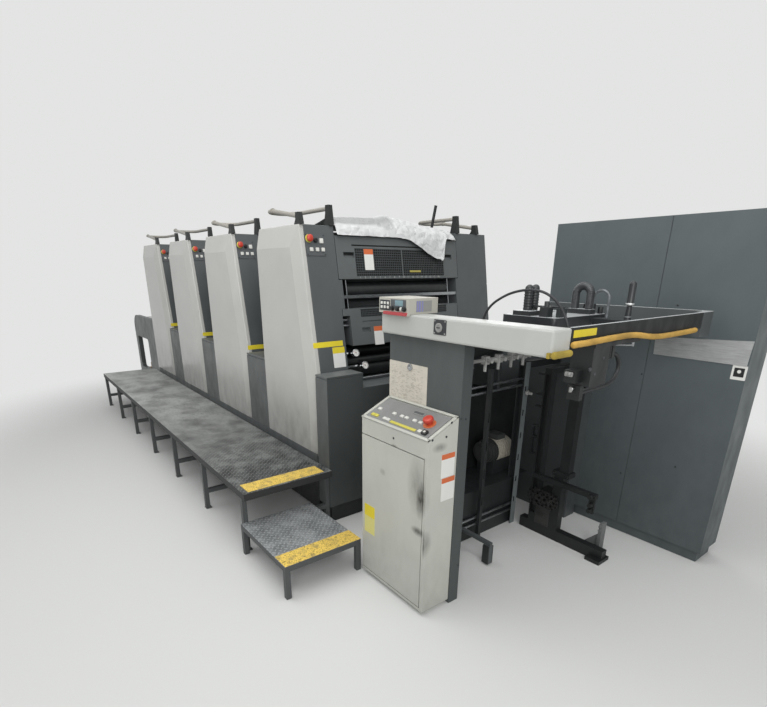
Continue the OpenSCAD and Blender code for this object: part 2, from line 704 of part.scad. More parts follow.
// The motor lies across the press: a ribbed barrel, a fan cowl and a terminal box
fin_n = 8;
motor_x = base_end + motor_r + 8;
motor_y = 77;
motor_len = 210;
cradle_h = 60;
motor_z = panel_h + cradle_h + motor_r;
module drive_motor() color("#b9b5a2") {
    translate([motor_x, motor_y, motor_z]) rotate([-90, 0, 0]) {
        cylinder(r = motor_r - 7, h = motor_len);
        for (i = [0:fin_n - 1]) translate([0, 0, 26 + i * 21]) cylinder(r = motor_r, h = 7);
        translate([0, 0, -22]) cylinder(r = motor_r - 12, h = 22);
        translate([0, 0, -34]) cylinder(r = motor_r * 0.55, h = 12);
        translate([0, 0, motor_len]) cylinder(r = 15, h = 50);
    }
    span([motor_x - 48, motor_y + 70, motor_z + motor_r - 12], [motor_x + 48, motor_y + 150, motor_z + motor_r + 30]);
}

post_x = panel_x - 10;
post_w = 54;
post_wall = 6;
rod_x = panel_x + panel_plate + 4 + tie_r;
tie_z = [105, 150, 960, 1000];
module tie_rods() color("#8f9496") {
    for (z = tie_z) translate([rod_x, column_in, z]) rotate([-90, 0, 0])
        cylinder(r = tie_r, h = post_y + post_cut - column_in);
}

// The post is a channel, open towards the operator, with a slotted flat bar and a floor bracket beside it
bar_y = -190;
bar_w = 24;
foot_y = -360;
module front_guide_post() color(black) {
    difference() {
        span([post_x, post_y, 0], [post_x + post_w, post_y + post_d, post_h]);
        span([post_x + post_wall, post_y - eps, -eps], [post_x + post_w - post_wall, post_y + post_cut, post_h - post_wall]);
        for (i = [0:5]) span([post_x + post_w - post_wall - eps, post_y + 12, 160 + i * 150],
            [post_x + post_w + eps, post_y + 24, 200 + i * 150]);
    }
    span([post_x + 6, post_y + post_d, post_h - 40], [post_x + post_w - 6, drive_beam_y - bar_t, post_h]);
    front_shelf();
    difference() {
        span([rod_x + tie_r, bar_y, 20], [rod_x + tie_r + bar_w, bar_y + bar_w, post_h]);
        for (i = [0:3]) span([rod_x + tie_r - eps, bar_y + 8, 240 + i * 180],
            [rod_x + tie_r + bar_w + eps, bar_y + bar_w - 8, 300 + i * 180]);
    }
    span([rod_x + tie_r, foot_y, 125], [rod_x + tie_r + 258, foot_y + 22, 147]);
    span([rod_x + tie_r + 213, foot_y - 10, 10], [rod_x + tie_r + 258, foot_y + 32, 125]);
}

rail_y = 195;
rail_w = 50;
rail_x0 = 1290;
rail_x1 = 1870;
guide_b = 1350;
guide_c = 1530;
guide_w = 50;
cross_z = 385;
// Below its collar the outer post stands a little further in
collar_z = 440;
collar_shift = 28;
module pile_guide_frame() color(black) {
    span([rail_x0, rail_y, 0], [rail_x1, rail_y + rail_w, rail_h]);
    span([rail_x1 - 80, rail_y - 40, 0], [rail_x1 + 10, rail_y + rail_w + 20, 22]);
    difference() {
        span([guide_b, rail_y, rail_h], [guide_b + guide_w, rail_y + rail_w, post_h - 20]);
        span([guide_b + 8, rail_y - eps, rail_h + 60], [guide_b + guide_w - 8, rail_y + 20, post_h - 60]);
    }
    for (z = [520, 634, 704, 830, 906, 1032]) span([guide_b - 48, rail_y + 6, z], [guide_b, rail_y + 26, z + 9]);
    span([guide_b - 48, rail_y + 6, 520], [guide_b - 40, rail_y + 26, 713]);
    span([guide_c, rail_y, collar_z], [guide_c + guide_w + 10, rail_y + rail_w, table_z - 15]);
    span([guide_c - collar_shift, rail_y, rail_h], [guide_c - collar_shift + guide_w + 10, rail_y + rail_w, collar_z]);
    span([guide_b + 20, rail_y - 30, cross_z], [guide_b + 441, rail_y, cross_z + 30]);
    span([guide_c - collar_shift - 12, rail_y - 10, collar_z], [guide_c + guide_w + 22, rail_y + rail_w + 10, collar_z + 30]);
    span([guide_c + 10, rail_y + rail_w, beam_z + 2], [guide_c + guide_w, drive_beam_y - bar_t, beam_z + 22]);
    span([guide_b, rail_y + rail_w, post_h - 50], [guide_b + guide_w, drive_beam_y - bar_t, post_h - 20]);
    span([guide_b + 400, rail_y - 20, 290], [guide_b + 436, rail_y - 6, cross_z]);
    for (z = [310, 345, cross_z + 15]) translate([guide_b + 418, rail_y - (z > cross_z ? 30 : 20), z]) rotate([90, 0, 0])
        cylinder(r = 13, h = 24);
    for (x = [guide_c - collar_shift, guide_c + guide_w + 10]) translate([x, rail_y - 10, collar_z + 15]) rotate([90, 0, 0])
        cylinder(r = 9, h = 12, $fn = 6);
}

// A light bracket on the floor beside the rail: a foot plate, a gusset and an upright with two bolts
foot_x = 1643;
upright_x = 1780;
upright_t = 20;
bracket_y = 290;
bracket_w = 50;
bracket_h = 190;
module rail_foot_bracket() color(light) {
    span([foot_x, bracket_y, 0], [upright_x + upright_t, bracket_y + bracket_w, 8]);
    span([upright_x, bracket_y, 8], [upright_x + upright_t, bracket_y + bracket_w, bracket_h]);
    side_view([[foot_x + 30, 8], [upright_x, 8], [upright_x, 120]], bracket_y + 19, bracket_y + 31);
    for (z = [bracket_h - 40, bracket_h - 16]) translate([upright_x + upright_t / 2, bracket_y, z]) rotate([90, 0, 0])
        cylinder(r = 8, h = 14, $fn = 6);
}

// Outline of a sprocket: round tooth gaps at the chain's pitch, between teeth with flat tips
function pitch_r(n) = chain_pitch / 2 / sin(180 / n);
roller_r = chain_pitch * 0.31;
module sprocket(n, t) difference() {
    cylinder(r = pitch_r(n) + chain_pitch * 0.28, h = t);
    for (i = [0:n - 1]) rotate([0, 0, i * 360 / n]) translate([pitch_r(n), 0, -eps])
        cylinder(r = roller_r, h = t + 2 * eps, $fn = 24);
    for (a = [0:60:300]) rotate([0, 0, a]) translate([pitch_r(n) * 0.6, 0, -eps])
        cylinder(r = pitch_r(n) * 0.17, h = t + 2 * eps, $fn = 24);
}

// One strand of roller chain: rollers joined by waisted side plates
module chain_strand(links) linear_extrude(chain_w) {
    for (i = [0:links]) translate([i * chain_pitch, 0]) circle(r = roller_r, $fn = 24);
    for (i = [0:links - 1]) translate([i * chain_pitch, -roller_r * 0.55]) square([chain_pitch, roller_r * 1.1]);
}

// The pile hoist: a gearbox on the floor rail and two sprockets on its shafts, joined by a chain
chain_w = 9;
chain_links = 4;
hoist_x = guide_b + guide_w;
hoist_z = 260;
hoist_plate = 8;
hub_t = 9;
sprocket_t = 7;
hoist_y = rail_y - hoist_plate - hub_t;
module pile_hoist() color(steel) {
    r = pitch_r(teeth);
    run = chain_links * chain_pitch;
    span([hoist_x, rail_y, rail_h], [hoist_x + run, rail_y + 110, hoist_z + 40]);
    for (i = [0:3]) span([hoist_x + run, rail_y + 58, rail_h + 30 + i * 45], [hoist_x + run + 8, rail_y + 102, rail_h + 44 + i * 45]);
    span([hoist_x - guide_w, rail_y - hoist_plate, hoist_z - 40], [hoist_x + run + 40, rail_y, hoist_z + 40]);
    for (x = [hoist_x, hoist_x + run]) translate([x, hoist_y, hoist_z]) rotate([90, 0, 0]) {
        translate([0, 0, -hub_t]) cylinder(r = 22, h = hub_t);
        sprocket(teeth, sprocket_t);
        translate([0, 0, sprocket_t]) cylinder(r = 16, h = 8);
        translate([0, 0, sprocket_t]) cylinder(r = 9, h = 13, $fn = 6);
    }
    for (z = [-r, r]) translate([hoist_x, hoist_y + 1, hoist_z + z]) rotate([90, 0, 0]) chain_strand(chain_links);
}

// A cross shaft behind the front post, with the blocks and nozzles that line up the sheets
stop_x = 1290;
stop_z = 1165;
module sheet_stops() color("#c4c6c4") {
    translate([stop_x, column_in, stop_z]) rotate([-90, 0, 0]) cylinder(r = 10, h = drive_beam_y - bar_t - column_in);
    for (y = [-300, -190, -80, 30]) {
        span([stop_x - 16, y, stop_z - 22], [stop_x + 16, y + 34, stop_z + 22]);
        translate([stop_x + 14, y + 17, stop_z]) rotate([0, 90, 0]) cylinder(r = 11, h = 34);
        translate([stop_x, y + 17, stop_z - 62]) cylinder(r = 9, h = 42);
    }
}

table_y0 = -275;
table_y1 = 180;
corner_r = 22;
arm_y = [40, 120];
arm_drop = 15;
arm_top = table_z + table_t - arm_drop;
// The table has round corners, stands on two cross rods and carries an arm with the grip post
module suction_table() color("#3a3d3f") {
    difference() {
        translate([0, 0, table_z]) linear_extrude(table_t) {
            translate([table_x, table_y0 + corner_r]) square([table_end - table_x, table_y1 - table_y0 - 2 * corner_r]);
            translate([table_x + corner_r, table_y0]) square([table_end - table_x - 2 * corner_r, table_y1 - table_y0]);
            for (x = [table_x + corner_r, table_end - corner_r], y = [table_y0 + corner_r, table_y1 - corner_r])
                translate([x, y]) circle(r = corner_r);
        }
        for (y = [table_y0 + 40, -20]) span([table_x + 30, y, table_z + table_t - 4],
            [table_x + 70, y + 130, table_z + table_t + eps]);
    }
    for (x = [1420, 1630]) translate([x, column_in, table_z - 15]) rotate([-90, 0, 0])
        cylinder(r = 15, h = drive_beam_y - bar_t - column_in);
    span([table_end, arm_y[0], table_z + 20], [1865, arm_y[1], arm_top]);
    translate([1840, 80, arm_top]) {
        cylinder(r1 = 15, r2 = 11, h = 70, $fn = 64);
        translate([0, 0, 70]) cylinder(r = 19, h = 9);
        translate([0, 0, 79]) cylinder(r = 16, h = 86);
        translate([0, 0, 165]) sphere(r = 16);
    }
}

head_z = table_z + table_t;
head_x = 1480;
cup_r = 20;
module suction_heads() color("#2c2e30") {
    span([head_x - 50, -270, head_z], [head_x + 50, -120, head_z + 22]);
    for (y = [-222, -172]) translate([head_x, y, head_z + 22]) {
        cylinder(r = cup_r, h = 104);
        for (i = [0:6]) translate([0, 0, 8 + i * 13]) cylinder(r = cup_r + 2, h = 5);
        translate([0, 0, 104]) sphere(r = cup_r);
    }
    span([head_x, -210, head_z + 40], [head_x + 190, -190, head_z + 48]);
    span([head_x + 170, -230, head_z], [head_x + 190, -170, head_z + 40]);
    span([duct_x - bend_r - 24, duct_y - 24, head_z], [duct_x + bend_r + 24, duct_y + 24, head_z + duct_foot]);
    for (at = [[1600, -237], [1600, 143]]) translate([at[0], at[1], head_z]) {
        translate([-22, -22, 0]) cube([44, 44, 46]);
        translate([0, 0, 46]) cylinder(r = 12, h = 26);
    }
    translate([1656, 154, head_z]) cylinder(r = 13, h = 34);
}

// The block of valves under the crossbar, and the fittings of the two hoses that hang from it
hang_z = bar_z - 16;
valve_y = [-550, -430];
valve_low = 1190;
hose_x = [2000, 1970];
hose_end = -530;
module valve_block() color("#242627") {
    span([1950, valve_y[0], valve_low], [beam_end - 6, valve_y[1], hang_z]);
    span([1955, valve_y[0], hang_z], [beam_end - 2, -200, bar_z]);
    for (z = [1215, 1245, 1275]) translate([1950, -490, z]) rotate([0, -90, 0]) cylinder(r = 10, h = 14);
    span([1960, valve_y[0] - 50, 1205], [2010, valve_y[0], 1255]);
    span([hose_x[1] - 13, hose_end - 26, valve_low - 62], [hose_x[0] + 13, hose_end, valve_low]);
    translate([hose_x[0], -361, 1280]) cylinder(r = hose_d / 2 + 4, h = hang_z - 1280);
    span([hose_x[1] - 13, -290, 1270], [hose_x[1] + 13, -270, hang_z]);
}

// A tube along a smooth run of points
function bend(p, t) = let (n = len(p) - 1, i = min(floor(t * n), n - 1), u = t * n - i,
    a = p[max(i - 1, 0)], b = p[i], c = p[i + 1], d = p[min(i + 2, n)])
    0.5 * (2 * b + (c - a) * u + (2 * a - 5 * b + 4 * c - d) * u * u + (3 * b - a - 3 * c + d) * u * u * u);
function unit_vec(v) = v / norm(v);
function side_of(v) = unit_vec(cross(v, abs(v[2]) > 0.9 * norm(v) ? [1, 0, 0] : [0, 0, 1]));
module hose(points, r, rings = 24, sides = 8) {
    path = [for (i = [0:rings]) bend(points, i / rings)];
    dir = [for (i = [0:rings]) unit_vec(path[min(i + 1, rings)] - path[max(i - 1, 0)])];
    verts = [for (i = [0:rings], k = [0:sides - 1])
        let (u = side_of(dir[i]), v = cross(dir[i], u), a = 360 * k / sides)
        path[i] + r * (cos(a) * u + sin(a) * v)];
    faces = concat([[for (k = [0:sides - 1]) k]],
        [for (i = [0:rings - 1], k = [0:sides - 1])
            [i * sides + k, (i + 1) * sides + k, (i + 1) * sides + (k + 1) % sides, i * sides + (k + 1) % sides]],
        [[for (k = [sides - 1:-1:0]) rings * sides + k]]);
    polyhedron(points = verts, faces = faces);
}

// A stiff tube that goes up, over in a half circle and down again, from its foot at the first leg
module u_bend(r, tube_r, up, down) {
    cylinder(r = tube_r, h = up);
    translate([2 * r, 0, up - down]) cylinder(r = tube_r, h = down);
    translate([r, 0, up]) rotate([90, 0, 0]) rotate_extrude(angle = 180) translate([r, 0]) circle(r = tube_r);
}

// The thick air duct stands on its foot on the table, the thin pipe goes from the table to the arm
bend_r = 40;
duct_hose_r = 20;
duct_x = 1593;
duct_y = 80;
duct_foot = 24;
pipe_r = 42;
module air_hoses() color(black) {
    translate([duct_x - bend_r, duct_y, head_z + duct_foot]) u_bend(bend_r, duct_hose_r, 73, 73);
    translate([1633, 112, head_z]) u_bend(pipe_r, 6, 75, 75 + arm_drop);
}

cable_route = [[gland_x[0], gland_y, gland_z[0]], [1612, -707, 1390], [1612, -707, 1400], [1615, -707, 1424],
    [1628, -707, 1458], [1654, -707, 1490], [1692, -707, 1516], [1745, -707, 1540], [1805, -707, 1554], [1860, -707, 1556],
    [1905, -707, 1548], [1947, -707, 1527], [1982, -707, 1495], [2006, -707, 1458], [2018, -707, 1430],
    [2020, -707, 1416], [2020, -707, 1408], [gland_x[1], gland_y, gland_z[1]]];
module arc_cable() color(black) hose(cable_route, cable_d / 2, 36);

hose_route_1 = [[hose_x[0], -361, 1280], [hose_x[0], -361, 1270], [hose_x[0], -361, 1259], [hose_x[0], -361, 1247],
    [hose_x[0], -364, 1228], [hose_x[0], -371, 1210], [hose_x[0], -383, 1194], [hose_x[0], -398, 1182],
    [hose_x[0], -417, 1175], [hose_x[0], -436, 1172], [hose_x[0], -455, 1172], [hose_x[0], -475, 1172],
    [hose_x[0], -495, 1172], [hose_x[0], -513, 1172], [hose_x[0], hose_end, 1172]];
module low_hose_1() color(black) hose(hose_route_1, hose_d / 2, 28);

hose_route_2 = [[hose_x[1], -270, 1286], [hose_x[1], -262, 1286], [hose_x[1], -254, 1286], [hose_x[1], -230, 1279], [hose_x[1], -206, 1259],
    [hose_x[1], -192, 1230], [hose_x[1], -196, 1200], [hose_x[1], -214, 1174], [hose_x[1], -242, 1157],
    [hose_x[1], -280, 1149], [hose_x[1], -330, 1145], [hose_x[1], -365, 1145], [hose_x[1], -400, 1145], [hose_x[1], -470, 1145],
    [hose_x[1], hose_end, 1145]];
module low_hose_2() color(black) hose(hose_route_2, hose_d / 2, 28);

control_w = 215;
control_d = 190;
control_h = 72;
// The box hangs a little over the beam's face, with a lip along its lower edge
control_out = 16;
module feeder_control_box() color("#d6d2c0") {
    x = beam_x + control_w;
    y = column_in - beam_d;
    z = column_h + beam_h;
    span([beam_x, y - control_out, z], [x, y - control_out + control_d, z + control_h]);
    span([beam_x + 60, y - control_out - 4, z - 8], [x, y, z]);
}

cab_x = 1024;
seam_x = cab_x + 694;
cab_back = cab_y + cab_d;
vent_n = 8;
// The cabinet stands on a set-back plinth; its doors, vents and handles are on the far side
module electrical_cabinet() color(dark) {
    difference() {
        span([cab_x, cab_y, plinth_h], [cab_x + cab_len, cab_back, cab_h]);
        span([seam_x, cab_y - eps, plinth_h - eps], [seam_x + groove, cab_y + groove, cab_h + eps]);
        for (x = [cab_x + 20, cab_x + cab_len / 2 - 2, cab_x + cab_len - 24]) span([x, cab_back - groove, plinth_h + 20],
            [x + groove, cab_back + eps, cab_h - 20]);
        for (z = [plinth_h + 20, cab_h - 24]) span([cab_x + 20, cab_back - groove, z],
            [cab_x + cab_len - 20, cab_back + eps, z + groove]);
        for (x = [cab_x + 170, cab_x + cab_len - 430], i = [0:vent_n - 1]) span([x, cab_back - 8, 260 + i * 26],
            [x + 260, cab_back + eps, 269 + i * 26]);
    }
    span([cab_x + 20, cab_y + 20, 0], [cab_x + cab_len - 20, cab_back - 20, plinth_h]);
    for (s = [-1, 1]) span([cab_x + cab_len / 2 + s * 45 - 12, cab_back, 980], [cab_x + cab_len / 2 + s * 45 + 12, cab_back + 16, 1130]);
}

module cabinet_sheet() color(steel)
    translate([cab_x + 728, cab_y - 4, 1171]) rotate([90, 0, 0]) translate([0, 0, -4]) linear_extrude(4)
        polygon([[0, 0], [460, -4], [466, 122], [-6, 98]]);

dlv_end = press_back - dlv_len;
bay_len = 820;
bay_top = dlv_h - 240;
hood_top = dlv_h - 30;
win_x = [120, 700];
win_z = [250, 700];
win_r = 40;

// Side outline of the delivery from height z0 to z1, with a nose rounded by r
module nose_outline(z0, z1, x1, r) {
    translate([dlv_end + r, z0]) square([x1 - dlv_end - r, z1 - z0]);
    translate([dlv_end, z0]) square([r + eps, max(z1 - z0 - r, eps)]);
    intersection() {
        translate([dlv_end + r, z1 - r]) circle(r = r, $fn = 96);
        translate([dlv_end, z0]) square([r + eps, z1 - z0]);
    }
}

// A window with round corners
module round_window(x, z, r) {
    translate([x[0] + r, z[0]]) square([x[1] - x[0] - 2 * r, z[1] - z[0]]);
    translate([x[0], z[0] + r]) square([x[1] - x[0], z[1] - z[0] - 2 * r]);
    for (a = [x[0] + r, x[1] - r], b = [z[0] + r, z[1] - r]) translate([a, b]) circle(r = r);
}

module delivery_frames() color(dark) for (s = [0, 1]) mirror([0, s, 0])
    translate([0, -dlv_half + dlv_t, 0]) rotate([90, 0, 0]) linear_extrude(dlv_t) difference() {
        nose_outline(0, dlv_h, press_back, nose_r);
        translate([dlv_end, 0]) round_window(win_x, win_z, win_r);
    }

// The hood between the frames: closed over the sheet path, open below its nose for the pile
slot_n = 6;
module delivery_hood() color(light) {
    inner = dlv_half - dlv_t;
    span([dlv_end + bay_len, -inner, 0], [press_back, inner, bay_top]);
    difference() {
        translate([0, inner, 0]) rotate([90, 0, 0]) linear_extrude(2 * inner)
            translate([20, 0]) nose_outline(bay_top, hood_top, press_back - 20, nose_r - 20);
        for (x = [dlv_end + 380, dlv_end + 980]) span([x, -inner - eps, hood_top - groove],
            [x + groove, inner + eps, hood_top + eps]);
        for (y = [-320, 200], i = [0:slot_n - 1]) span([dlv_end + 1060 + i * 34, y, hood_top - 10],
            [dlv_end + 1072 + i * 34, y + 120, hood_top + eps]);
        for (y = [-360, 240]) span([dlv_end + 420, y, hood_top - 14], [dlv_end + 450, y + 120, hood_top + eps]);
    }
}

module delivery_pile_board() color("burlywood") {
    inner = dlv_half - dlv_t;
    for (x = [dlv_end + 160, dlv_end + 620]) span([x, -inner, 180], [x + 50, inner, 230]);
    for (y = [-inner + 60, -30, inner - 120]) span([dlv_end + 130, y, 230], [dlv_end + 692, y + 60, 270]);
    for (i = [0:6]) span([dlv_end + 130 + i * 82, -inner + 60, 270], [dlv_end + 200 + i * 82, inner - 60, 290]);
}

press_bed();
unit_housing(1);  // unit_1_housing
unit_housing(2);  // unit_2_housing
unit_housing(3);  // unit_3_housing
unit_housing(4);  // unit_4_housing
unit_cover(1);  // unit_1_cover
unit_cover(2);  // unit_2_cover
unit_cover(3);  // unit_3_cover
unit_cover(4);  // unit_4_cover
unit_guard(1);  // unit_1_guard
unit_guard(2);  // unit_2_guard
unit_guard(3);  // unit_3_guard
unit_guard(4);  // unit_4_guard
rollers();
wash_bars();
dial_gauges();
low_boxes();
handrails();
top_fittings();
control_plates();
dust_sheet();
platform_deck();
platform_legs();
lower_step();
console_body();
console_door();
console_panel();
feeder_column();
feeder_top_beam();
feeder_crossbar();
feeder_drive_frame();
safety_bar();
feeder_base();
feed_board();
drive_motor();
tie_rods();
front_guide_post();
pile_guide_frame();
rail_foot_bracket();
pile_hoist();
sheet_stops();
suction_table();
suction_heads();
valve_block();
air_hoses();
arc_cable();
low_hose_1();
low_hose_2();
feeder_control_box();
electrical_cabinet();
cabinet_sheet();
delivery_frames();
delivery_hood();
delivery_pile_board();
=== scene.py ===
"""Looks of the sheet-fed offset printing press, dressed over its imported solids."""

import math

import bpy
from mathutils import Matrix, Vector


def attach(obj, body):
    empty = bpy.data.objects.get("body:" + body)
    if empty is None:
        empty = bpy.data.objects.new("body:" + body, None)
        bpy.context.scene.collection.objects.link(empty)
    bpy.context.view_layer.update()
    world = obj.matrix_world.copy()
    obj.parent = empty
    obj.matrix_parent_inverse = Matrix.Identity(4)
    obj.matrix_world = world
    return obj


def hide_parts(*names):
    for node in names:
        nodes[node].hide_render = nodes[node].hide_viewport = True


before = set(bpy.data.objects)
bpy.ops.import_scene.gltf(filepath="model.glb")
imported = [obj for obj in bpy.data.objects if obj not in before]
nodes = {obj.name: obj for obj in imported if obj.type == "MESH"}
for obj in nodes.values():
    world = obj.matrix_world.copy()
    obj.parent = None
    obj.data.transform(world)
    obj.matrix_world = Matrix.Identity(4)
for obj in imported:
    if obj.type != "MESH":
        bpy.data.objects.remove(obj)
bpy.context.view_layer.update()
scene = bpy.context.scene

MM = 0.001
UNITS = (1, 2, 3, 4)
UNIT_PITCH = 1067
SLOPE = math.atan((380 - 200) / (1890 - 840))


def front_x(z):
    """Sloping front face of the unit next to the feeder, in mm, at height z."""
    return 380 if z < 840 else 200 + 180 * (1890 - z) / 1050


# Camera: the photograph's own, solved from the straight edges of the press
camera = bpy.data.objects.new("photo_camera", bpy.data.cameras.new("photo_camera"))
scene.collection.objects.link(camera)
camera.location = (3.050, -2.377, 1.630)
camera.rotation_euler = (math.radians(70.40), -0.0011, math.radians(53.20))
camera.data.sensor_width = 36
camera.data.lens = 22.965
camera.data.shift_x = 0.0157
camera.data.shift_y = 0.1176
camera.data.clip_end = 60
scene.camera = camera


# Materials

def srgb(text):
    """Linear colour of an sRGB hex value."""
    parts = [int(text[i:i + 2], 16) / 255 for i in (1, 3, 5)]
    return [p / 12.92 if p <= 0.04045 else ((p + 0.055) / 1.055) ** 2.4 for p in parts] + [1]


def shade(text, factor):
    """An sRGB hex value made lighter or darker."""
    parts = [min(255, max(0, round(int(text[i:i + 2], 16) * factor))) for i in (1, 3, 5)]
    return "#%02x%02x%02x" % tuple(parts)


def add(tree, kind, settings=None, links=None, out=0):
    """Adds one shader node with its settings and what is joined to its inputs, and gives its output."""
    node = tree.nodes.new(kind)
    for key, value in (settings or {}).items():
        if key == "stops":
            band = node.color_ramp
            while len(band.elements) < len(value):
                band.elements.new(0.5)
            for element, (place, colour) in zip(band.elements, value):
                element.position = place
                element.color = srgb(colour)
        elif isinstance(key, int) or key in node.inputs:
            node.inputs[key].default_value = value
        else:
            setattr(node, key, value)
    for key, socket in (links or {}).items():
        tree.links.new(socket, node.inputs[key])
    return node.outputs[out]


def new_material(name, **settings):
    """A material with one Principled shader; settings are its sockets."""
    material = bpy.data.materials.new(name)
    material.use_nodes = True
    tree = material.node_tree
    shader = tree.nodes["Principled BSDF"]
    for key, value in settings.items():
        shader.inputs[key.replace("_", " ")].default_value = value
    return material, tree, shader, add(tree, "ShaderNodeTexCoord", out="Object")


def blotches(tree, place, size, detail=3, drawn_out=(1, 1, 1)):
    """Irregular blotches about `size` mm across, as of dust, wear or grain, drawn out along an axis."""
    around = add(tree, "ShaderNodeMapping", {"Scale": [1000 / size / s for s in drawn_out]}, {"Vector": place})
    return add(tree, "ShaderNodeTexNoise", {"Scale": 1, "Detail": detail}, {"Vector": around})


def raise_grain(tree, shader, height, strength, depth):
    """Lets the light catch a surface's fine relief, `depth` mm deep."""
    bump = add(tree, "ShaderNodeBump", {"Strength": strength, "Distance": depth * MM}, {"Height": height})
    tree.links.new(bump, shader.inputs["Normal"])


def hand_marks(tree, place, marks):
    """Smudges where hands and keys rub: each has a centre and half sizes in mm and how dark it is."""
    total = None
    for centre, half, dark in marks:
        around = add(tree, "ShaderNodeMapping", {"Scale": [1000 / h for h in half],
                                                 "Location": [-c / h for c, h in zip(centre, half)]},
                     {"Vector": place})
        reach = add(tree, "ShaderNodeVectorMath", {"operation": "LENGTH"}, {0: around}, "Value")
        mark = add(tree, "ShaderNodeMapRange", {1: 0.2, 2: 1.0, 3: dark, 4: 0.0}, {0: reach})
        if total is not None:
            mark = add(tree, "ShaderNodeMath", {"operation": "MAXIMUM"}, {0: total, 1: mark})
        total = mark
    rub = add(tree, "ShaderNodeMapRange", {1: 0.3, 2: 0.6, 3: 0.7, 4: 1.0},
              {0: blotches(tree, place, 20, 4, (1, 1, 2.2))})
    return add(tree, "ShaderNodeMath", {"operation": "MULTIPLY"}, {0: total, 1: rub})


def enamel(name, colour, roughness, mottle=0.04, grime_and_shade=0.0, low=0.0, high=0.6, peel=3.0, marks=(), bands=(),
           metal=0.0):
    """Stoved enamel on sheet steel: an even colour with a faint orange peel, cloudy dust and a darkening low down.

    The darkening fades out from height `low` to `high` in metres; it is grime, and on the operator covers also a
    painted reflection of the darker deck. `bands` are places with another colour, each given by limits (axis,
    middle and half width in mm) that all hold there.
    """
    material, tree, shader, place = new_material(name, Roughness=roughness, Metallic=metal)
    cloud = blotches(tree, place, 310, 5)
    smear = blotches(tree, place, 70, 4, (1, 1, 1.8))
    base = add(tree, "ShaderNodeValToRGB",
               {"stops": [(0.3, shade(colour, 1 - mottle)), (0.7, shade(colour, 1 + mottle))]}, {"Fac": cloud})
    dust = add(tree, "ShaderNodeMapRange", {1: 0.45, 2: 0.8, 3: 0, 4: mottle * 2.5}, {0: smear})
    base = add(tree, "ShaderNodeMix", {"data_type": "RGBA", 7: srgb(shade(colour, 0.72))}, {0: dust, 6: base}, 2)
    # Darker low down: grime, and on the covers a painted reflection of the darker deck
    if grime_and_shade > 0:
        height = add(tree, "ShaderNodeSeparateXYZ", None, {0: place}, "Z")
        reach = add(tree, "ShaderNodeMapRange", {1: low, 2: high, 3: grime_and_shade, 4: 0}, {0: height})
        patch = add(tree, "ShaderNodeMapRange", {1: 0.35, 2: 0.7, 3: 0.6, 4: 1}, {0: smear})
        amount = add(tree, "ShaderNodeMath", {"operation": "MULTIPLY"}, {0: reach, 1: patch})
        base = add(tree, "ShaderNodeMix", {"data_type": "RGBA", 7: srgb(shade(colour, 0.42))},
                   {0: amount, 6: base}, 2)
    if marks:
        base = add(tree, "ShaderNodeMix", {"data_type": "RGBA", 7: srgb("#35332e")},
                   {0: hand_marks(tree, place, marks), 6: base}, 2)
    for limits, other in bands:
        inside = None
        for axis, middle, half in limits:
            along = add(tree, "ShaderNodeSeparateXYZ", None, {0: place}, axis)
            here = add(tree, "ShaderNodeMath", {"operation": "COMPARE", 1: middle * MM, 2: half * MM}, {0: along})
            if inside is not None:
                here = add(tree, "ShaderNodeMath", {"operation": "MULTIPLY"}, {0: inside, 1: here})
            inside = here
        base = add(tree, "ShaderNodeMix", {"data_type": "RGBA", 7: srgb(other)}, {0: inside, 6: base}, 2)
    tree.links.new(base, shader.inputs["Base Color"])
    rough = add(tree, "ShaderNodeMapRange", {1: 0.3, 2: 0.7, 3: roughness * 0.85, 4: min(1, roughness * 1.25)},
                {0: smear})
    tree.links.new(rough, shader.inputs["Roughness"])
    # Orange peel of real enamel is about 1 mm; drawn at `peel` mm so that it shows
    raise_grain(tree, shader, blotches(tree, place, peel, 2), 0.1, 0.4)
    return material


def bare_metal(name, colour, roughness, along, scratch=1.2, tarnish=0.3):
    """Bare metal with fine scratches along one axis and a dull tarnish in patches."""
    material, tree, shader, place = new_material(name, Metallic=1.0, Roughness=roughness)
    drawn_out = [1, 1, 1]
    drawn_out[along] = 40
    lines = blotches(tree, place, scratch, 3, drawn_out)
    base = add(tree, "ShaderNodeValToRGB", {"stops": [(0.3, shade(colour, 0.9)), (0.7, shade(colour, 1.06))]},
               {"Fac": lines})
    dull = add(tree, "ShaderNodeMapRange", {1: 0.5, 2: 0.75, 3: 0, 4: tarnish}, {0: blotches(tree, place, 60, 4)})
    base = add(tree, "ShaderNodeMix", {"data_type": "RGBA", 7: srgb(shade(colour, 0.55))}, {0: dull, 6: base}, 2)
    tree.links.new(base, shader.inputs["Base Color"])
    rough = add(tree, "ShaderNodeMapRange", {1: 0.3, 2: 0.7, 3: roughness * 0.75, 4: roughness * 1.3}, {0: lines})
    tree.links.new(rough, shader.inputs["Roughness"])
    raise_grain(tree, shader, lines, 0.15, 0.2)
    return material


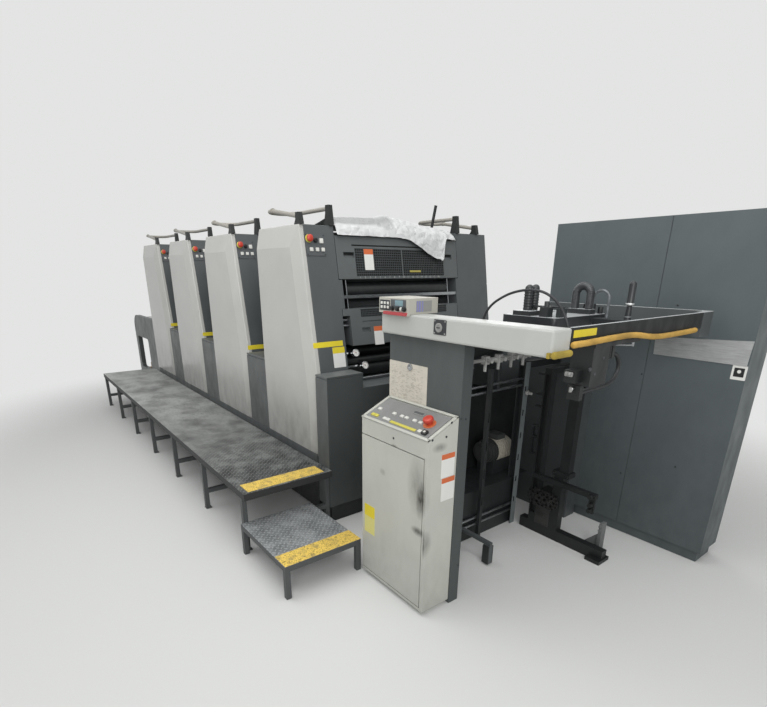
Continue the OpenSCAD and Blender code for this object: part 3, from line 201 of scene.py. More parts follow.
def tread_plate(name, colour, soil, pitch=25):
    """Rolled tread steel: raised lozenges set crosswise, `pitch` mm apart, worn bright, with trodden dirt between.

    `soil` is how uneven the dirt lies, from 0 to 1.
    """
    material, tree, shader, place = new_material(name, Metallic=0.55, Roughness=0.45)
    cells = add(tree, "ShaderNodeMapping", {"Rotation": (0, 0, math.radians(45)), "Scale": [1000 / pitch] * 3},
                {"Vector": place})
    whole = add(tree, "ShaderNodeVectorMath", {"operation": "FLOOR"}, {0: cells})
    part = add(tree, "ShaderNodeVectorMath", {"operation": "FRACTION"}, {0: cells})
    part = add(tree, "ShaderNodeVectorMath", {"operation": "SUBTRACT", 1: (0.5, 0.5, 0)}, {0: part})
    part = add(tree, "ShaderNodeVectorMath", {"operation": "ABSOLUTE"}, {0: part})
    row = add(tree, "ShaderNodeSeparateXYZ", None, {0: whole}, "X")
    column = add(tree, "ShaderNodeSeparateXYZ", None, {0: whole}, "Y")
    both = add(tree, "ShaderNodeMath", {"operation": "ADD"}, {0: row, 1: column})
    crosswise = add(tree, "ShaderNodeMath", {"operation": "PINGPONG", 1: 1}, {0: both})
    reach = []
    for size in ((1 / 0.47, 1 / 0.15, 0), (1 / 0.15, 1 / 0.47, 0)):
        stretched = add(tree, "ShaderNodeVectorMath", {"operation": "MULTIPLY", 1: size}, {0: part})
        reach.append(add(tree, "ShaderNodeVectorMath", {"operation": "LENGTH"}, {0: stretched}, "Value"))
    chosen = add(tree, "ShaderNodeMix", {"data_type": "FLOAT"}, {0: crosswise, 2: reach[0], 3: reach[1]})
    lozenge = add(tree, "ShaderNodeMapRange", {1: 1.0, 2: 0.72}, {0: chosen})
    # Only the upper face is patterned, the turned-down edges are smooth
    facing = add(tree, "ShaderNodeNewGeometry", out="Normal")
    facing = add(tree, "ShaderNodeSeparateXYZ", None, {0: facing}, "Z")
    facing = add(tree, "ShaderNodeMath", {"operation": "GREATER_THAN", 1: 0.7}, {0: facing})
    lozenge = add(tree, "ShaderNodeMath", {"operation": "MULTIPLY"}, {0: lozenge, 1: facing})
    dirt = blotches(tree, place, 90, 8)
    base = add(tree, "ShaderNodeValToRGB",
               {"stops": [(0.36, shade(colour, 1 - 0.38 * soil)), (0.52, colour),
                          (0.64, shade(colour, 1 + 0.28 * soil))]},
               {"Fac": dirt})
    # Paper dust lies thicker towards the delivery end
    far = add(tree, "ShaderNodeSeparateXYZ", None, {0: place}, "X")
    far = add(tree, "ShaderNodeMapRange", {1: 0.3, 2: -1.7, 3: 0.0, 4: 1.0}, {0: far})
    patch = add(tree, "ShaderNodeMapRange", {1: 0.35, 2: 0.6, 3: 0.35, 4: 1.0}, {0: blotches(tree, place, 220, 6)})
    dust = add(tree, "ShaderNodeMath", {"operation": "MULTIPLY"}, {0: far, 1: patch})
    base = add(tree, "ShaderNodeMix", {"data_type": "RGBA", 7: srgb("#b8bab7")}, {0: dust, 6: base}, 2)
    grit = add(tree, "ShaderNodeMapRange", {1: 0.5, 2: 0.7, 3: 0, 4: 0.55}, {0: blotches(tree, place, 12, 3)})
    base = add(tree, "ShaderNodeMix", {"data_type": "RGBA", 7: srgb(shade(colour, 0.5))}, {0: grit, 6: base}, 2)
    # Faces that do not look up are made darker: painted shade on the turned-down edges, the fascia and the legs
    base = add(tree, "ShaderNodeMix", {"data_type": "RGBA", 6: srgb(shade(colour, 0.62))}, {0: facing, 7: base}, 2)
    worn = add(tree, "ShaderNodeMath", {"operation": "MULTIPLY", 1: 0.7}, {0: lozenge})
    base = add(tree, "ShaderNodeMix", {"data_type": "RGBA", 7: srgb(shade(colour, 1.4))}, {0: worn, 6: base}, 2)
    tree.links.new(base, shader.inputs["Base Color"])
    rough = add(tree, "ShaderNodeMapRange", {3: 0.62, 4: 0.38}, {0: lozenge})
    tree.links.new(rough, shader.inputs["Roughness"])
    raise_grain(tree, shader, lozenge, 0.55, 1.2)
    return material


def soft_rubber(name, colour, roughness):
    """Smooth rubber or vinyl: dull black with a film of dust."""
    material, tree, shader, place = new_material(name, Roughness=roughness)
    base = add(tree, "ShaderNodeValToRGB", {"stops": [(0.35, colour), (0.75, shade(colour, 1.7))]},
               {"Fac": blotches(tree, place, 35, 4)})
    tree.links.new(base, shader.inputs["Base Color"])
    raise_grain(tree, shader, blotches(tree, place, 2, 2), 0.2, 0.3)
    return material


def foam_rubber(name, colour):
    """Open-celled foam tube: matt, pitted, soiled where hands touch it."""
    material, tree, shader, place = new_material(name, Roughness=0.95)
    # Cells of real foam are under 1 mm; drawn at 3 mm so that they show
    cells = add(tree, "ShaderNodeTexVoronoi", {"Scale": 1000 / 3}, {"Vector": place})
    base = add(tree, "ShaderNodeValToRGB",
               {"stops": [(0.3, shade(colour, 0.72)), (0.55, colour), (0.75, shade(colour, 1.12))]},
               {"Fac": blotches(tree, place, 60, 5, (1, 2.5, 1))})
    pits = add(tree, "ShaderNodeMapRange", {1: 0.5, 2: 0.1, 3: 0, 4: 0.3}, {0: cells})
    base = add(tree, "ShaderNodeMix", {"data_type": "RGBA", 7: srgb(shade(colour, 0.5))}, {0: pits, 6: base}, 2)
    tree.links.new(base, shader.inputs["Base Color"])
    raise_grain(tree, shader, cells, 0.5, 0.8)
    return material


def grit_tape(name, colour):
    """Anti-slip tape: coarse grit in yellow paint, trodden through to grey in places."""
    material, tree, shader, place = new_material(name, Roughness=0.85)
    # Real grit is about 0.5 mm; drawn at 6 mm so that it shows
    grit = blotches(tree, place, 6, 3)
    base = add(tree, "ShaderNodeValToRGB",
               {"stops": [(0.36, shade(colour, 0.6)), (0.46, colour), (0.64, shade(colour, 1.08))]}, {"Fac": grit})
    wear = add(tree, "ShaderNodeMapRange", {1: 0.5, 2: 0.68, 3: 0, 4: 0.7}, {0: blotches(tree, place, 45, 6)})
    base = add(tree, "ShaderNodeMix", {"data_type": "RGBA", 7: srgb("#8d7f55")}, {0: wear, 6: base}, 2)
    tree.links.new(base, shader.inputs["Base Color"])
    raise_grain(tree, shader, grit, 0.6, 0.9)
    return material


def sawn_wood(name, colour):
    """Sawn spruce: straight grain along the boards in pale and brown bands, rough, with dirty patches."""
    material, tree, shader, place = new_material(name, Roughness=0.8)
    grain = blotches(tree, place, 6, 5, (1, 30, 1))
    base = add(tree, "ShaderNodeValToRGB",
               {"stops": [(0.3, shade(colour, 0.7)), (0.55, colour), (0.75, shade(colour, 1.12))]}, {"Fac": grain})
    soil = add(tree, "ShaderNodeMapRange", {1: 0.5, 2: 0.8, 3: 0, 4: 0.5}, {0: blotches(tree, place, 120, 4)})
    base = add(tree, "ShaderNodeMix", {"data_type": "RGBA", 7: srgb(shade(colour, 0.5))}, {0: soil, 6: base}, 2)
    tree.links.new(base, shader.inputs["Base Color"])
    raise_grain(tree, shader, grain, 0.35, 0.8)
    return material


def thin_fleece(name, colour, shaded_folds):
    """Thin bonded fleece: matt white fibres, a little soiled, creased where it was folded.

    Over the patches given, each a centre, half sizes in mm and a strength, a grey painted shade darkens the colour
    where the cloth folds away from the light.
    """
    material, tree, shader, place = new_material(name, Roughness=0.85, Sheen_Weight=0.15)
    base = add(tree, "ShaderNodeValToRGB", {"stops": [(0.3, shade(colour, 0.92)), (0.65, colour)]},
               {"Fac": blotches(tree, place, 160, 5)})
    for centre, half, strength in shaded_folds:
        around = add(tree, "ShaderNodeMapping", {"Scale": [1000 / h for h in half],
                                                 "Location": [-c / h for c, h in zip(centre, half)]},
                     {"Vector": place})
        reach = add(tree, "ShaderNodeVectorMath", {"operation": "LENGTH"}, {0: around}, "Value")
        fold_shade = add(tree, "ShaderNodeMapRange", {1: 0.6, 2: 1.0, 3: strength, 4: 0.0}, {0: reach})
        # Painted shade: the colour greys over each patch
        base = add(tree, "ShaderNodeMix", {"data_type": "RGBA", 7: srgb(shade(colour, 0.74))},
                   {0: fold_shade, 6: base}, 2)
    tree.links.new(base, shader.inputs["Base Color"])
    # Old creases: the edges of uneven cells about 70 mm wide, sharp at the fold and sloping off
    uneven = add(tree, "ShaderNodeMix", {"data_type": "VECTOR", 0: 0.06},
                 {4: place,
                  5: add(tree, "ShaderNodeTexNoise", {"Scale": 14.0, "Detail": 3}, {"Vector": place}, 1)}, 1)
    crease = add(tree, "ShaderNodeTexVoronoi",
                 {"Scale": 1000 / 70, "feature": "DISTANCE_TO_EDGE"}, {"Vector": uneven})
    crease = add(tree, "ShaderNodeMapRange", {1: 0.0, 2: 0.4, 3: 0.0, 4: 1.0}, {0: crease})
    raise_grain(tree, shader, crease, 0.65, 9)
    return material


def ruled_paper(name, colour, line):
    """Office paper, a little yellowed, with faint uneven rows of marks inside its margins."""
    material, tree, shader, place = new_material(name, Roughness=0.5)
    base = add(tree, "ShaderNodeValToRGB", {"stops": [(0.3, shade(colour, 0.94)), (0.7, colour)]},
               {"Fac": blotches(tree, place, 80, 4)})
    ruled = blotches(tree, place, 5, 2, (3.5, 1, 1))
    amount = add(tree, "ShaderNodeMapRange", {1: 0.5, 2: 0.62, 3: 0.0, 4: 0.5}, {0: ruled})
    for axis, middle, half in (("X", 1226, 118), ("Z", 1090, 86)):
        along = add(tree, "ShaderNodeSeparateXYZ", None, {0: place}, axis)
        here = add(tree, "ShaderNodeMath", {"operation": "COMPARE", 1: middle * MM, 2: half * MM}, {0: along})
        amount = add(tree, "ShaderNodeMath", {"operation": "MULTIPLY"}, {0: amount, 1: here})
    base = add(tree, "ShaderNodeMix", {"data_type": "RGBA", 7: srgb(line)}, {0: amount, 6: base}, 2)
    tree.links.new(base, shader.inputs["Base Color"])
    raise_grain(tree, shader, ruled, 0.05, 0.2)
    return material


# Smudges on the console: round the lock, at the door's edge and where a thumb opens it
CONSOLE_MARKS = (((1556, -977, 640), (44, 60, 120), 1.0), ((1530, -977, 690), (74, 60, 160), 0.45),
                 ((1546, -977, 461), (52, 60, 27), 0.9), ((1589, -977, 410), (9, 60, 92), 0.95),
                 ((1361, -977, 839), (28, 30, 9), 0.6), ((1274, -977, 675), (28, 30, 22), 0.35),
                 ((1594, -905, 882), (30, 52, 26), 0.55))

# Dark grey satin enamel of the unit housings: even, a soft sheen along the slope
unit_enamel = enamel("unit_enamel", "#4e5253", 0.42, 0.04, 0.5, 0.0, 0.9)
# The same enamel on the guards, a little lighter where it is handled
guard_enamel = enamel("guard_enamel", "#555959", 0.38, 0.04)
# The grille sheets, painted darker as the shade they lie in over the recess
grille_enamel = enamel("grille_enamel", "#343839", 0.5, 0.06)
# Grey enamel of the low boxes: the end towards the feeder painted darker as the shade of the console and feeder,
# the set-back foot black
box_enamel = enamel("box_enamel", "#5a5e5e", 0.48, 0.05, 0.7, 0.1, 1.0,
                    bands=(((("X", 520, 1.5),), "#3b3f3f"), ((("Z", 60, 60.5),), "#17191a")))
# Dull grey paint of the legs, and of the toe board along the deck
leg_enamel = enamel("leg_enamel", "#505354", 0.5, 0.06, 0.5, 0.0, 0.5)
toe_enamel = enamel("toe_enamel", "#3f4243", 0.6, 0.1)
# Grey enamel of the feeder column, its side towards the feeder's end painted darker as shade
column_enamel = enamel("column_enamel", "#4c5151", 0.5, 0.04, 0.35, 0.0, 0.6,
                       bands=(((("X", 1599, 1.5),), "#3f4444"),))
# Blue-grey enamel of the cabinet, duller towards the floor
cabinet_enamel = enamel("cabinet_enamel", "#525a5c", 0.5, 0.035, 0.4, 0.0, 1.4)
# Black paint of the bed and brackets, dulled by paper dust
black_enamel = enamel("black_enamel", "#151718", 0.5, 0.12, 0.3, 0.0, 0.5)
# Black paint of the front post, whose outer flange is bare zinc
post_enamel = enamel("post_enamel", "#1f2223", 0.45, 0.12,
                     bands=(((("X", 1244, 1.2), ("Y", 172, 24)), "#656b6c"), ((("Y", -349, 14),), "#4a4e4f")))
# Black enamel of the crossbar, with a painted highlight of the ceiling lamps along its top
bar_enamel = enamel("bar_enamel", "#141819", 0.65, 0.05, bands=(((("Z", 1450, 16),), "#a9acad"),))
# Dark grey enamel of the drive-side frame, with a painted highlight of the ceiling lamps along its top
frame_enamel = enamel("frame_enamel", "#4b4f50", 0.42, 0.05, 0.2, 0, 0.5, bands=(((("Z", 1450, 16),), "#b2b5b5"),))
# Black enamel of the table, its top bare and light
table_enamel = enamel("table_enamel", "#26292b", 0.38, 0.08, bands=(((("Z", 1415.3, 1.4),), "#a4a7a8"),))
# Light grey enamel of the console, rubbed dark round the lock and the door's edge
console_enamel = enamel("console_enamel", "#b9bab2", 0.45, 0.025, 0.3, 0.0, 0.45, 2.0, CONSOLE_MARKS)
# Light grey enamel of the top beam and hood
beam_enamel = enamel("beam_enamel", "#b5b7b3", 0.38, 0.02)
# Beige enamel of the control box
beige_enamel = enamel("beige_enamel", "#b2b0a6", 0.45, 0.03)
# Greasy beige enamel of the motor, its cowl and terminal box dark
motor_enamel = enamel("motor_enamel", "#a5a195", 0.55, 0.1, 0.3, 0.2, 0.45,
                      bands=(((("Y", 90, 50),), "#2e302f"), ((("Z", 575, 20),), "#3a3c3b")))
# Moulded ABS of the operator covers: smooth and glossy, darker near the deck, partly soiled and partly a painted
# reflection of the darker deck
cover_plastic = enamel("cover_plastic", "#b9b9b5", 0.2, 0.014, 0.68, 0.35, 0.95, 6.0)
# Grey painted tube of the handrails
tube_enamel = enamel("tube_enamel", "#96938b", 0.35, 0.03)
# Chipped grey paint of the foot bracket
bracket_paint = enamel("bracket_paint", "#6f7271", 0.5, 0.1, 0.4, 0, 0.2)
# Yellow foam of the safety bar: matt and pitted
foam = foam_rubber("yellow_foam", "#be984b")
# The same foam on the pad, bleached and soiled
pad_foam = foam_rubber("pad_foam", "#a08c3b")
# Vinyl and rubber of hoses and rollers: black with a soft sheen
hose_rubber = soft_rubber("hose_rubber", "#17181a", 0.5)
duct_vinyl = soft_rubber("duct_vinyl", "#26282a", 0.35)
pipe_nylon = soft_rubber("pipe_nylon", "#4c4e50", 0.3)
roller_rubber = soft_rubber("roller_rubber", "#141516", 0.38)
# Ground steel bars and rods: thin scratches along them
ground_steel = bare_metal("ground_steel", "#a3a6a8", 0.3, 1)
# Nickelled steel of the gauges
gauge_steel = bare_metal("gauge_steel", "#b4b6b7", 0.25, 2)
# Oiled steel of chain and sprockets, dark with old grease in patches
sprocket_steel = bare_metal("sprocket_steel", "#585957", 0.38, 0, 1.5, 0.5)
# Brushed aluminium sheet: scratches along the press
brushed_sheet = bare_metal("brushed_sheet", "#cbcccd", 0.42, 0, 1.5, 0.15)
# Rolled tread steel of the deck and the step
deck_tread = tread_plate("deck_tread_steel", "#616362", 1.0)
step_tread = tread_plate("step_tread_steel", "#8d9091", 0.35)
# Spruce boards of the pile board
spruce = sawn_wood("spruce_boards", "#b08a5c")
# Black paint of the suction heads, their feet rubbed light on top
head_enamel = enamel("head_enamel", "#2a2d2e", 0.42, 0.1,
                     bands=(((("Z", 1439.2, 0.8), ("X", 1593, 70), ("Y", 80, 30)), "#b9bcbd"),
                            ((("Z", 1437.2, 0.8), ("X", 1480, 56), ("Y", -195, 80)), "#b9bcbd")))
# Dark paint of the valve block, oily
valve_enamel = enamel("valve_enamel", "#131516", 0.5, 0.2)
# Grey white plastic of the sheet stops and fittings
fitting_plastic = enamel("fitting_plastic", "#8e8f8c", 0.4, 0.35, peel=1.5)
# White bonded fleece of the dust sheet, with painted shade greying two patches where it folds away from the light
fleece = thin_fleece("white_fleece", "#d3d4d4", (((156, -330, 1925), (54, 330, 300), 1.0),
                                                 ((176, -120, 1935), (48, 90, 200), 0.6)))
# Dark grey ABS of the control plates
plate_plastic = enamel("control_plate_plastic", "#505355", 0.4, 0.03)
# Grey foil of the console panel, dulled by fingers
panel_foil = enamel("panel_foil", "#808180", 0.4, 0.07)

FINISH = {
    "press_bed": black_enamel, "rollers": roller_rubber, "wash_bars": ground_steel, "dial_gauges": gauge_steel,
    "low_boxes": box_enamel, "handrails": tube_enamel, "top_fittings": black_enamel,
    "control_plates": plate_plastic,
    "dust_sheet": fleece, "platform_deck": deck_tread, "platform_legs": leg_enamel, "lower_step": step_tread,
    "console_body": console_enamel, "console_door": console_enamel, "console_panel": panel_foil,
    "feeder_column": column_enamel, "feeder_top_beam": beam_enamel, "feeder_crossbar": bar_enamel,
    "feeder_drive_frame": frame_enamel, "safety_bar": foam, "feeder_base": black_enamel,
    "feed_board": unit_enamel, "drive_motor": motor_enamel, "tie_rods": ground_steel,
    "front_guide_post": post_enamel, "pile_guide_frame": black_enamel, "rail_foot_bracket": bracket_paint,
    "pile_hoist": sprocket_steel, "sheet_stops": fitting_plastic, "suction_table": table_enamel,
    "suction_heads": head_enamel, "valve_block": valve_enamel, "air_hoses": duct_vinyl, "arc_cable": hose_rubber,
    "low_hose_1": hose_rubber, "low_hose_2": hose_rubber, "feeder_control_box": beige_enamel,
    "electrical_cabinet": cabinet_enamel, "cabinet_sheet": brushed_sheet, "delivery_frames": unit_enamel,
    "delivery_hood": beam_enamel, "delivery_pile_board": spruce,
}
# Widths in mm of the rounded edges that catch the light on sheet steel and mouldings
EDGE = {"feeder_top_beam": 8, "feeder_control_box": 6, "console_body": 3, "console_door": 1.5, "feeder_column": 3,
        "electrical_cabinet": 4, "low_boxes": 3, "feeder_crossbar": 2, "feeder_drive_frame": 3, "platform_deck": 2,
        "lower_step": 2, "press_bed": 3, "console_panel": 1.2, "feeder_base": 3, "feed_board": 2,
        "front_guide_post": 1, "delivery_frames": 4, "delivery_hood": 4, "delivery_pile_board": 2,
        "suction_table": 1.5, "suction_heads": 1.5, "valve_block": 2}
for n in UNITS:
    FINISH[f"unit_{n}_housing"] = unit_enamel
    FINISH[f"unit_{n}_guard"] = guard_enamel
    FINISH[f"unit_{n}_cover"] = cover_plastic
    EDGE[f"unit_{n}_cover"] = 5
    EDGE[f"unit_{n}_housing"] = 2
    EDGE[f"unit_{n}_guard"] = 1.5

for name, piece in nodes.items():
    piece.data.materials.clear()
    piece.data.materials.append(FINISH[name])


def soften(piece, width):
    """Merges a solid's triangles into flat faces and rounds its sharp edges."""
    weld = piece.modifiers.new("weld", "WELD")
    weld.merge_threshold = 0.00001
    flat = piece.modifiers.new("flat", "DECIMATE")
    flat.decimate_type = "DISSOLVE"
    flat.angle_limit = math.radians(0.5)
    edge = piece.modifiers.new("edge", "BEVEL")
    edge.width = width * MM
    edge.segments = 2
    edge.limit_method = "ANGLE"
    edge.angle_limit = math.radians(40)


for name, width in EDGE.items():
    soften(nodes[name], width)


# Making and placing pieces, in mm unless a name says otherwise

def face_frame(origin, right, up):
    """Places a piece drawn on the XY plane: its X runs along right, its Y along up."""
    right = Vector(right).normalized()
    up = Vector(up).normalized()
    out = right.cross(up)
    rows = [(right[i], up[i], out[i], origin[i] * MM) for i in range(3)] + [(0, 0, 0, 1)]
    return Matrix(rows)


def on_slope(y, z, n=4, out=0):
    """Sloping front face of unit n, at y and height z."""
    normal = (math.cos(SLOPE) * out, 0, math.sin(SLOPE) * out)
    origin = (front_x(z) + (n - 4) * UNIT_PITCH + normal[0], y, z + normal[2])
    return face_frame(origin, (0, 1, 0), (-math.sin(SLOPE), 0, math.cos(SLOPE)))


def on_operator_side(x, y, z):
    """A face that looks towards the operator."""
    return face_frame((x, y, z), (1, 0, 0), (0, 0, 1))


def on_feeder_end(x, y, z):
    """A face that looks along the press towards the feeder's end."""
    return face_frame((x, y, z), (0, 1, 0), (0, 0, 1))


def on_top(x, y, z):
    """A face that looks up."""
    return face_frame((x, y, z), (1, 0, 0), (0, 1, 0))


CONSOLE = (1100, -977, 920)
CONSOLE_TILT = math.atan((1002 - 920) / 183)


def on_console(u, v, out=8):
    """The console's sloping top, u along it and v up the slope from its front left corner."""
    up = (0, math.cos(CONSOLE_TILT), math.sin(CONSOLE_TILT))
    lift = (0, -math.sin(CONSOLE_TILT) * out, math.cos(CONSOLE_TILT) * out)
    origin = (CONSOLE[0] + u, CONSOLE[1] + up[1] * v + lift[1], CONSOLE[2] + up[2] * v + lift[2])
    return face_frame(origin, (1, 0, 0), up)


def pick(piece, test, kind="EDGE"):
    """Selects the edges or faces of a piece that pass the test, and stays in edit mode."""
    bpy.ops.object.mode_set(mode="EDIT")
    bpy.ops.mesh.select_mode(type=kind)
    bpy.ops.mesh.select_all(action="DESELECT")
    bpy.ops.object.mode_set(mode="OBJECT")
    points = piece.data.vertices
    if kind == "EDGE":
        for edge in piece.data.edges:
            a, b = (points[i].co for i in edge.vertices)
            edge.select = test(a, b)
    else:
        for face in piece.data.polygons:
            face.select = test(face)
    bpy.ops.object.mode_set(mode="EDIT")


def plate(width, height, thick, corner=0, edge=0, steps=4):
    """A flat plate with rounded corners and a softened front edge, its back on the XY plane."""
    bpy.ops.object.select_all(action="DESELECT")
    bpy.ops.mesh.primitive_cube_add(size=MM, location=(0, 0, thick / 2 * MM), scale=(width, height, thick))
    piece = bpy.context.object
    bpy.ops.object.transform_apply(location=True, rotation=True, scale=True)
    if corner:
        pick(piece, lambda a, b: abs(a.z - b.z) > thick * MM / 2)
        bpy.ops.mesh.bevel(offset=corner * MM, segments=steps, affect="EDGES")
        bpy.ops.object.mode_set(mode="OBJECT")
    if edge:
        pick(piece, lambda a, b: min(a.z, b.z) > thick * MM * 0.99)
        bpy.ops.mesh.bevel(offset=edge * MM, segments=2, affect="EDGES")
        bpy.ops.object.mode_set(mode="OBJECT")
    return piece


def turned(rings, sides=24):
    """A turned piece built up ring by ring from (height, radius), its axis on Z."""
    height, radius = rings[0]
    bpy.ops.object.select_all(action="DESELECT")
    bpy.ops.mesh.primitive_circle_add(vertices=sides, radius=radius * MM, fill_type="NGON", location=(0, 0, 0))
    piece = bpy.context.object
    bpy.ops.object.mode_set(mode="EDIT")
    bpy.ops.mesh.select_all(action="SELECT")
    bpy.ops.transform.translate(value=(0, 0, height * MM))
    for up, wide in rings[1:]:
        bpy.ops.mesh.extrude_region_move(TRANSFORM_OT_translate={"value": (0, 0, (up - height) * MM)})
        grow = wide / radius
        bpy.ops.transform.resize(value=(grow, grow, 1), center_override=(0, 0, up * MM))
        height, radius = up, wide
    bpy.ops.mesh.select_all(action="SELECT")
    bpy.ops.mesh.normals_make_consistent(inside=False)
    bpy.ops.object.mode_set(mode="OBJECT")
    return piece


def put(piece, finish, place):
    """Gives a piece its material and puts its place into its mesh."""
    piece.data.materials.clear()
    piece.data.materials.append(finish)
    piece.matrix_world = place
    bpy.ops.object.select_all(action="DESELECT")
    piece.select_set(True)
    bpy.context.view_layer.objects.active = piece
    bpy.ops.object.transform_apply(location=True, rotation=True, scale=True)
    return piece


def twin(piece, move):
    """A copy with its own mesh, moved by so many mm."""
    other = piece.copy()
    other.data = piece.data.copy()
    other.data.transform(Matrix.Translation(Vector(move) * MM))
    scene.collection.objects.link(other)
    return other


def gather(name, pieces, body="press", smooth=35):
    """Joins pieces into one named piece that rides on a body."""
    bpy.ops.object.select_all(action="DESELECT")
    for piece in pieces:
        piece.select_set(True)
    bpy.context.view_layer.objects.active = pieces[0]
    if len(pieces) > 1:
        bpy.ops.object.join()
    whole = bpy.context.object
    whole.name = name
    whole.data.name = name
    bpy.ops.object.shade_smooth_by_angle(angle=math.radians(smooth))
    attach(whole, body)
    return whole


def along_units(pieces, units=(1, 2, 3)):
    """The pieces of the unit next to the feeder, with copies on the other units."""
    return pieces + [twin(piece, ((n - 4) * UNIT_PITCH, 0, 0)) for piece in pieces for n in units]


def through(points, steps=4):
    """Points on one smooth line through the given ones."""
    last = len(points) - 1
    line = []
    for i in range(last):
        a, b, c, d = (Vector(points[min(max(k, 0), last)]) for k in (i - 1, i, i + 1, i + 2))
        for step in range(steps):
            t = step / steps
            line.append(0.5 * (2 * b + (c - a) * t + (2 * a - 5 * b + 4 * c - d) * t * t
                               + (3 * b - a - 3 * c + d) * t ** 3))
    line.append(Vector(points[-1]))
    return line


def lay_along(piece, points, turn_about):
    """Bends a soft turned piece, drawn up the Z axis, so that its axis follows the points, in mm."""
    line = [p * MM for p in through(points, 12)]
    far = [0.0]
    for a, b in zip(line, line[1:]):
        far.append(far[-1] + (b - a).length)
    side = Vector(turn_about).normalized()
    for point in piece.data.vertices:
        reach = min(max(point.co.z, 0.0), far[-1] - 1e-7)
        i = max(k for k in range(len(line) - 1) if far[k] <= reach)
        along = (line[i + 1] - line[i]).normalized()
        middle = line[i] + along * (point.co.z - far[i])
        across = along.cross(side).normalized()
        point.co = middle + across * point.co.x + across.cross(along).normalized() * -point.co.y
    return piece


def length_of(points):
    """Length in mm of the smooth line through the points."""
    line = through(points, 12)
    return sum((b - a).length for a, b in zip(line, line[1:]))


# Cords: the same points as the solids, in metres, each a curve with a round section
def cord_curve(name, points, diameter):
    """A smooth cord through the points."""
    curve = bpy.data.curves.new(name, "CURVE")
    curve.dimensions = "3D"
    curve.bevel_depth = diameter / 2
    curve.bevel_resolution = 4
    curve.use_fill_caps = True
    smooth = through(points)
    spline = curve.splines.new("POLY")
    spline.points.add(len(smooth) - 1)
    for point, place in zip(spline.points, smooth):
        point.co = (*place, 1)
    piece = bpy.data.objects.new(name, curve)
    scene.collection.objects.link(piece)
    return piece, sum((b - a).length for a, b in zip(smooth, smooth[1:]))


ARC_CABLE = [(1.612, -0.707, 1.380), (1.612, -0.707, 1.390), (1.612, -0.707, 1.400), (1.615, -0.707, 1.424),
             (1.628, -0.707, 1.458), (1.654, -0.707, 1.490), (1.692, -0.707, 1.516), (1.745, -0.707, 1.540),
             (1.805, -0.707, 1.554), (1.860, -0.707, 1.556), (1.905, -0.707, 1.548), (1.947, -0.707, 1.527),
             (1.982, -0.707, 1.495), (2.006, -0.707, 1.458), (2.018, -0.707, 1.430), (2.020, -0.707, 1.416),
             (2.020, -0.707, 1.408), (2.020, -0.707, 1.400)]
LOW_HOSE_1 = [(2.000, -0.361, 1.280), (2.000, -0.361, 1.270), (2.000, -0.361, 1.259), (2.000, -0.361, 1.247),
              (2.000, -0.364, 1.228), (2.000, -0.371, 1.210), (2.000, -0.383, 1.194), (2.000, -0.398, 1.182),
              (2.000, -0.417, 1.175), (2.000, -0.436, 1.172), (2.000, -0.455, 1.172), (2.000, -0.475, 1.172),
              (2.000, -0.495, 1.172), (2.000, -0.513, 1.172), (2.000, -0.530, 1.172)]
LOW_HOSE_2 = [(1.970, -0.270, 1.286), (1.970, -0.262, 1.286), (1.970, -0.254, 1.286), (1.970, -0.230, 1.279),
              (1.970, -0.206, 1.259), (1.970, -0.192, 1.230), (1.970, -0.196, 1.200), (1.970, -0.214, 1.174),
              (1.970, -0.242, 1.157), (1.970, -0.280, 1.149), (1.970, -0.330, 1.145), (1.970, -0.365, 1.145),
              (1.970, -0.400, 1.145), (1.970, -0.470, 1.145), (1.970, -0.530, 1.145)]
for name, points, diameter in (("arc_cable", ARC_CABLE, 0.010), ("low_hose_1", LOW_HOSE_1, 0.018),
                               ("low_hose_2", LOW_HOSE_2, 0.018)):
    cord, length = cord_curve(name + "_run", points, diameter)
    cord.data.materials.append(hose_rubber)
    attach(cord, "press")
    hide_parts(name)


# Plain colours of the small fittings
def moulded(name, colour, roughness=0.35):
    """A small moulded plastic fitting: even colour, soft gloss, faint handling marks."""
    return enamel(name, colour, roughness, 0.03, peel=1.5)


red_plastic = moulded("red_stop_plastic", "#bd3c2c")
white_plastic = moulded("white_key_plastic", "#d2d2cc")
black_plastic = moulded("black_knob_plastic", "#1a1b1c")
yellow_plastic = moulded("yellow_key_plastic", "#c9c054")
orange_print = moulded("orange_sticker", "#c9663a", 0.5)
white_print = moulded("white_sticker", "#dcdcd8", 0.5)
yellow_print = moulded("yellow_sticker", "#dac72e", 0.5)
pale_yellow = moulded("pale_yellow_sticker", "#d0ca80", 0.5)
red_strip = moulded("red_trim_strip", "#ad4448", 0.45)
display_glass = moulded("display_window", "#77929a", 0.15)
blue_print = moulded("blue_panel_print", "#8585b4", 0.5)
grey_print = moulded("grey_panel_print", "#8f908d", 0.5)
gold_print = moulded("gold_plate", "#a69a4c", 0.4)
number_paint = moulded("number_paint", "#a9aca8", 0.6)
dark_metal = moulded("dark_metal", "#2c2f32", 0.4)
# Matt black plates in the hollows behind the grilles, in the slot and in the hand recesses: painted shade
painted_shade_black = enamel("painted_shade_black", "#0b0c0c", 0.95, 0.1)
note_paper = ruled_paper("note_paper", "#d3cdc0", "#9a8f82")
yellow_tape = grit_tape("yellow_grit_tape", "#dbbc5c")


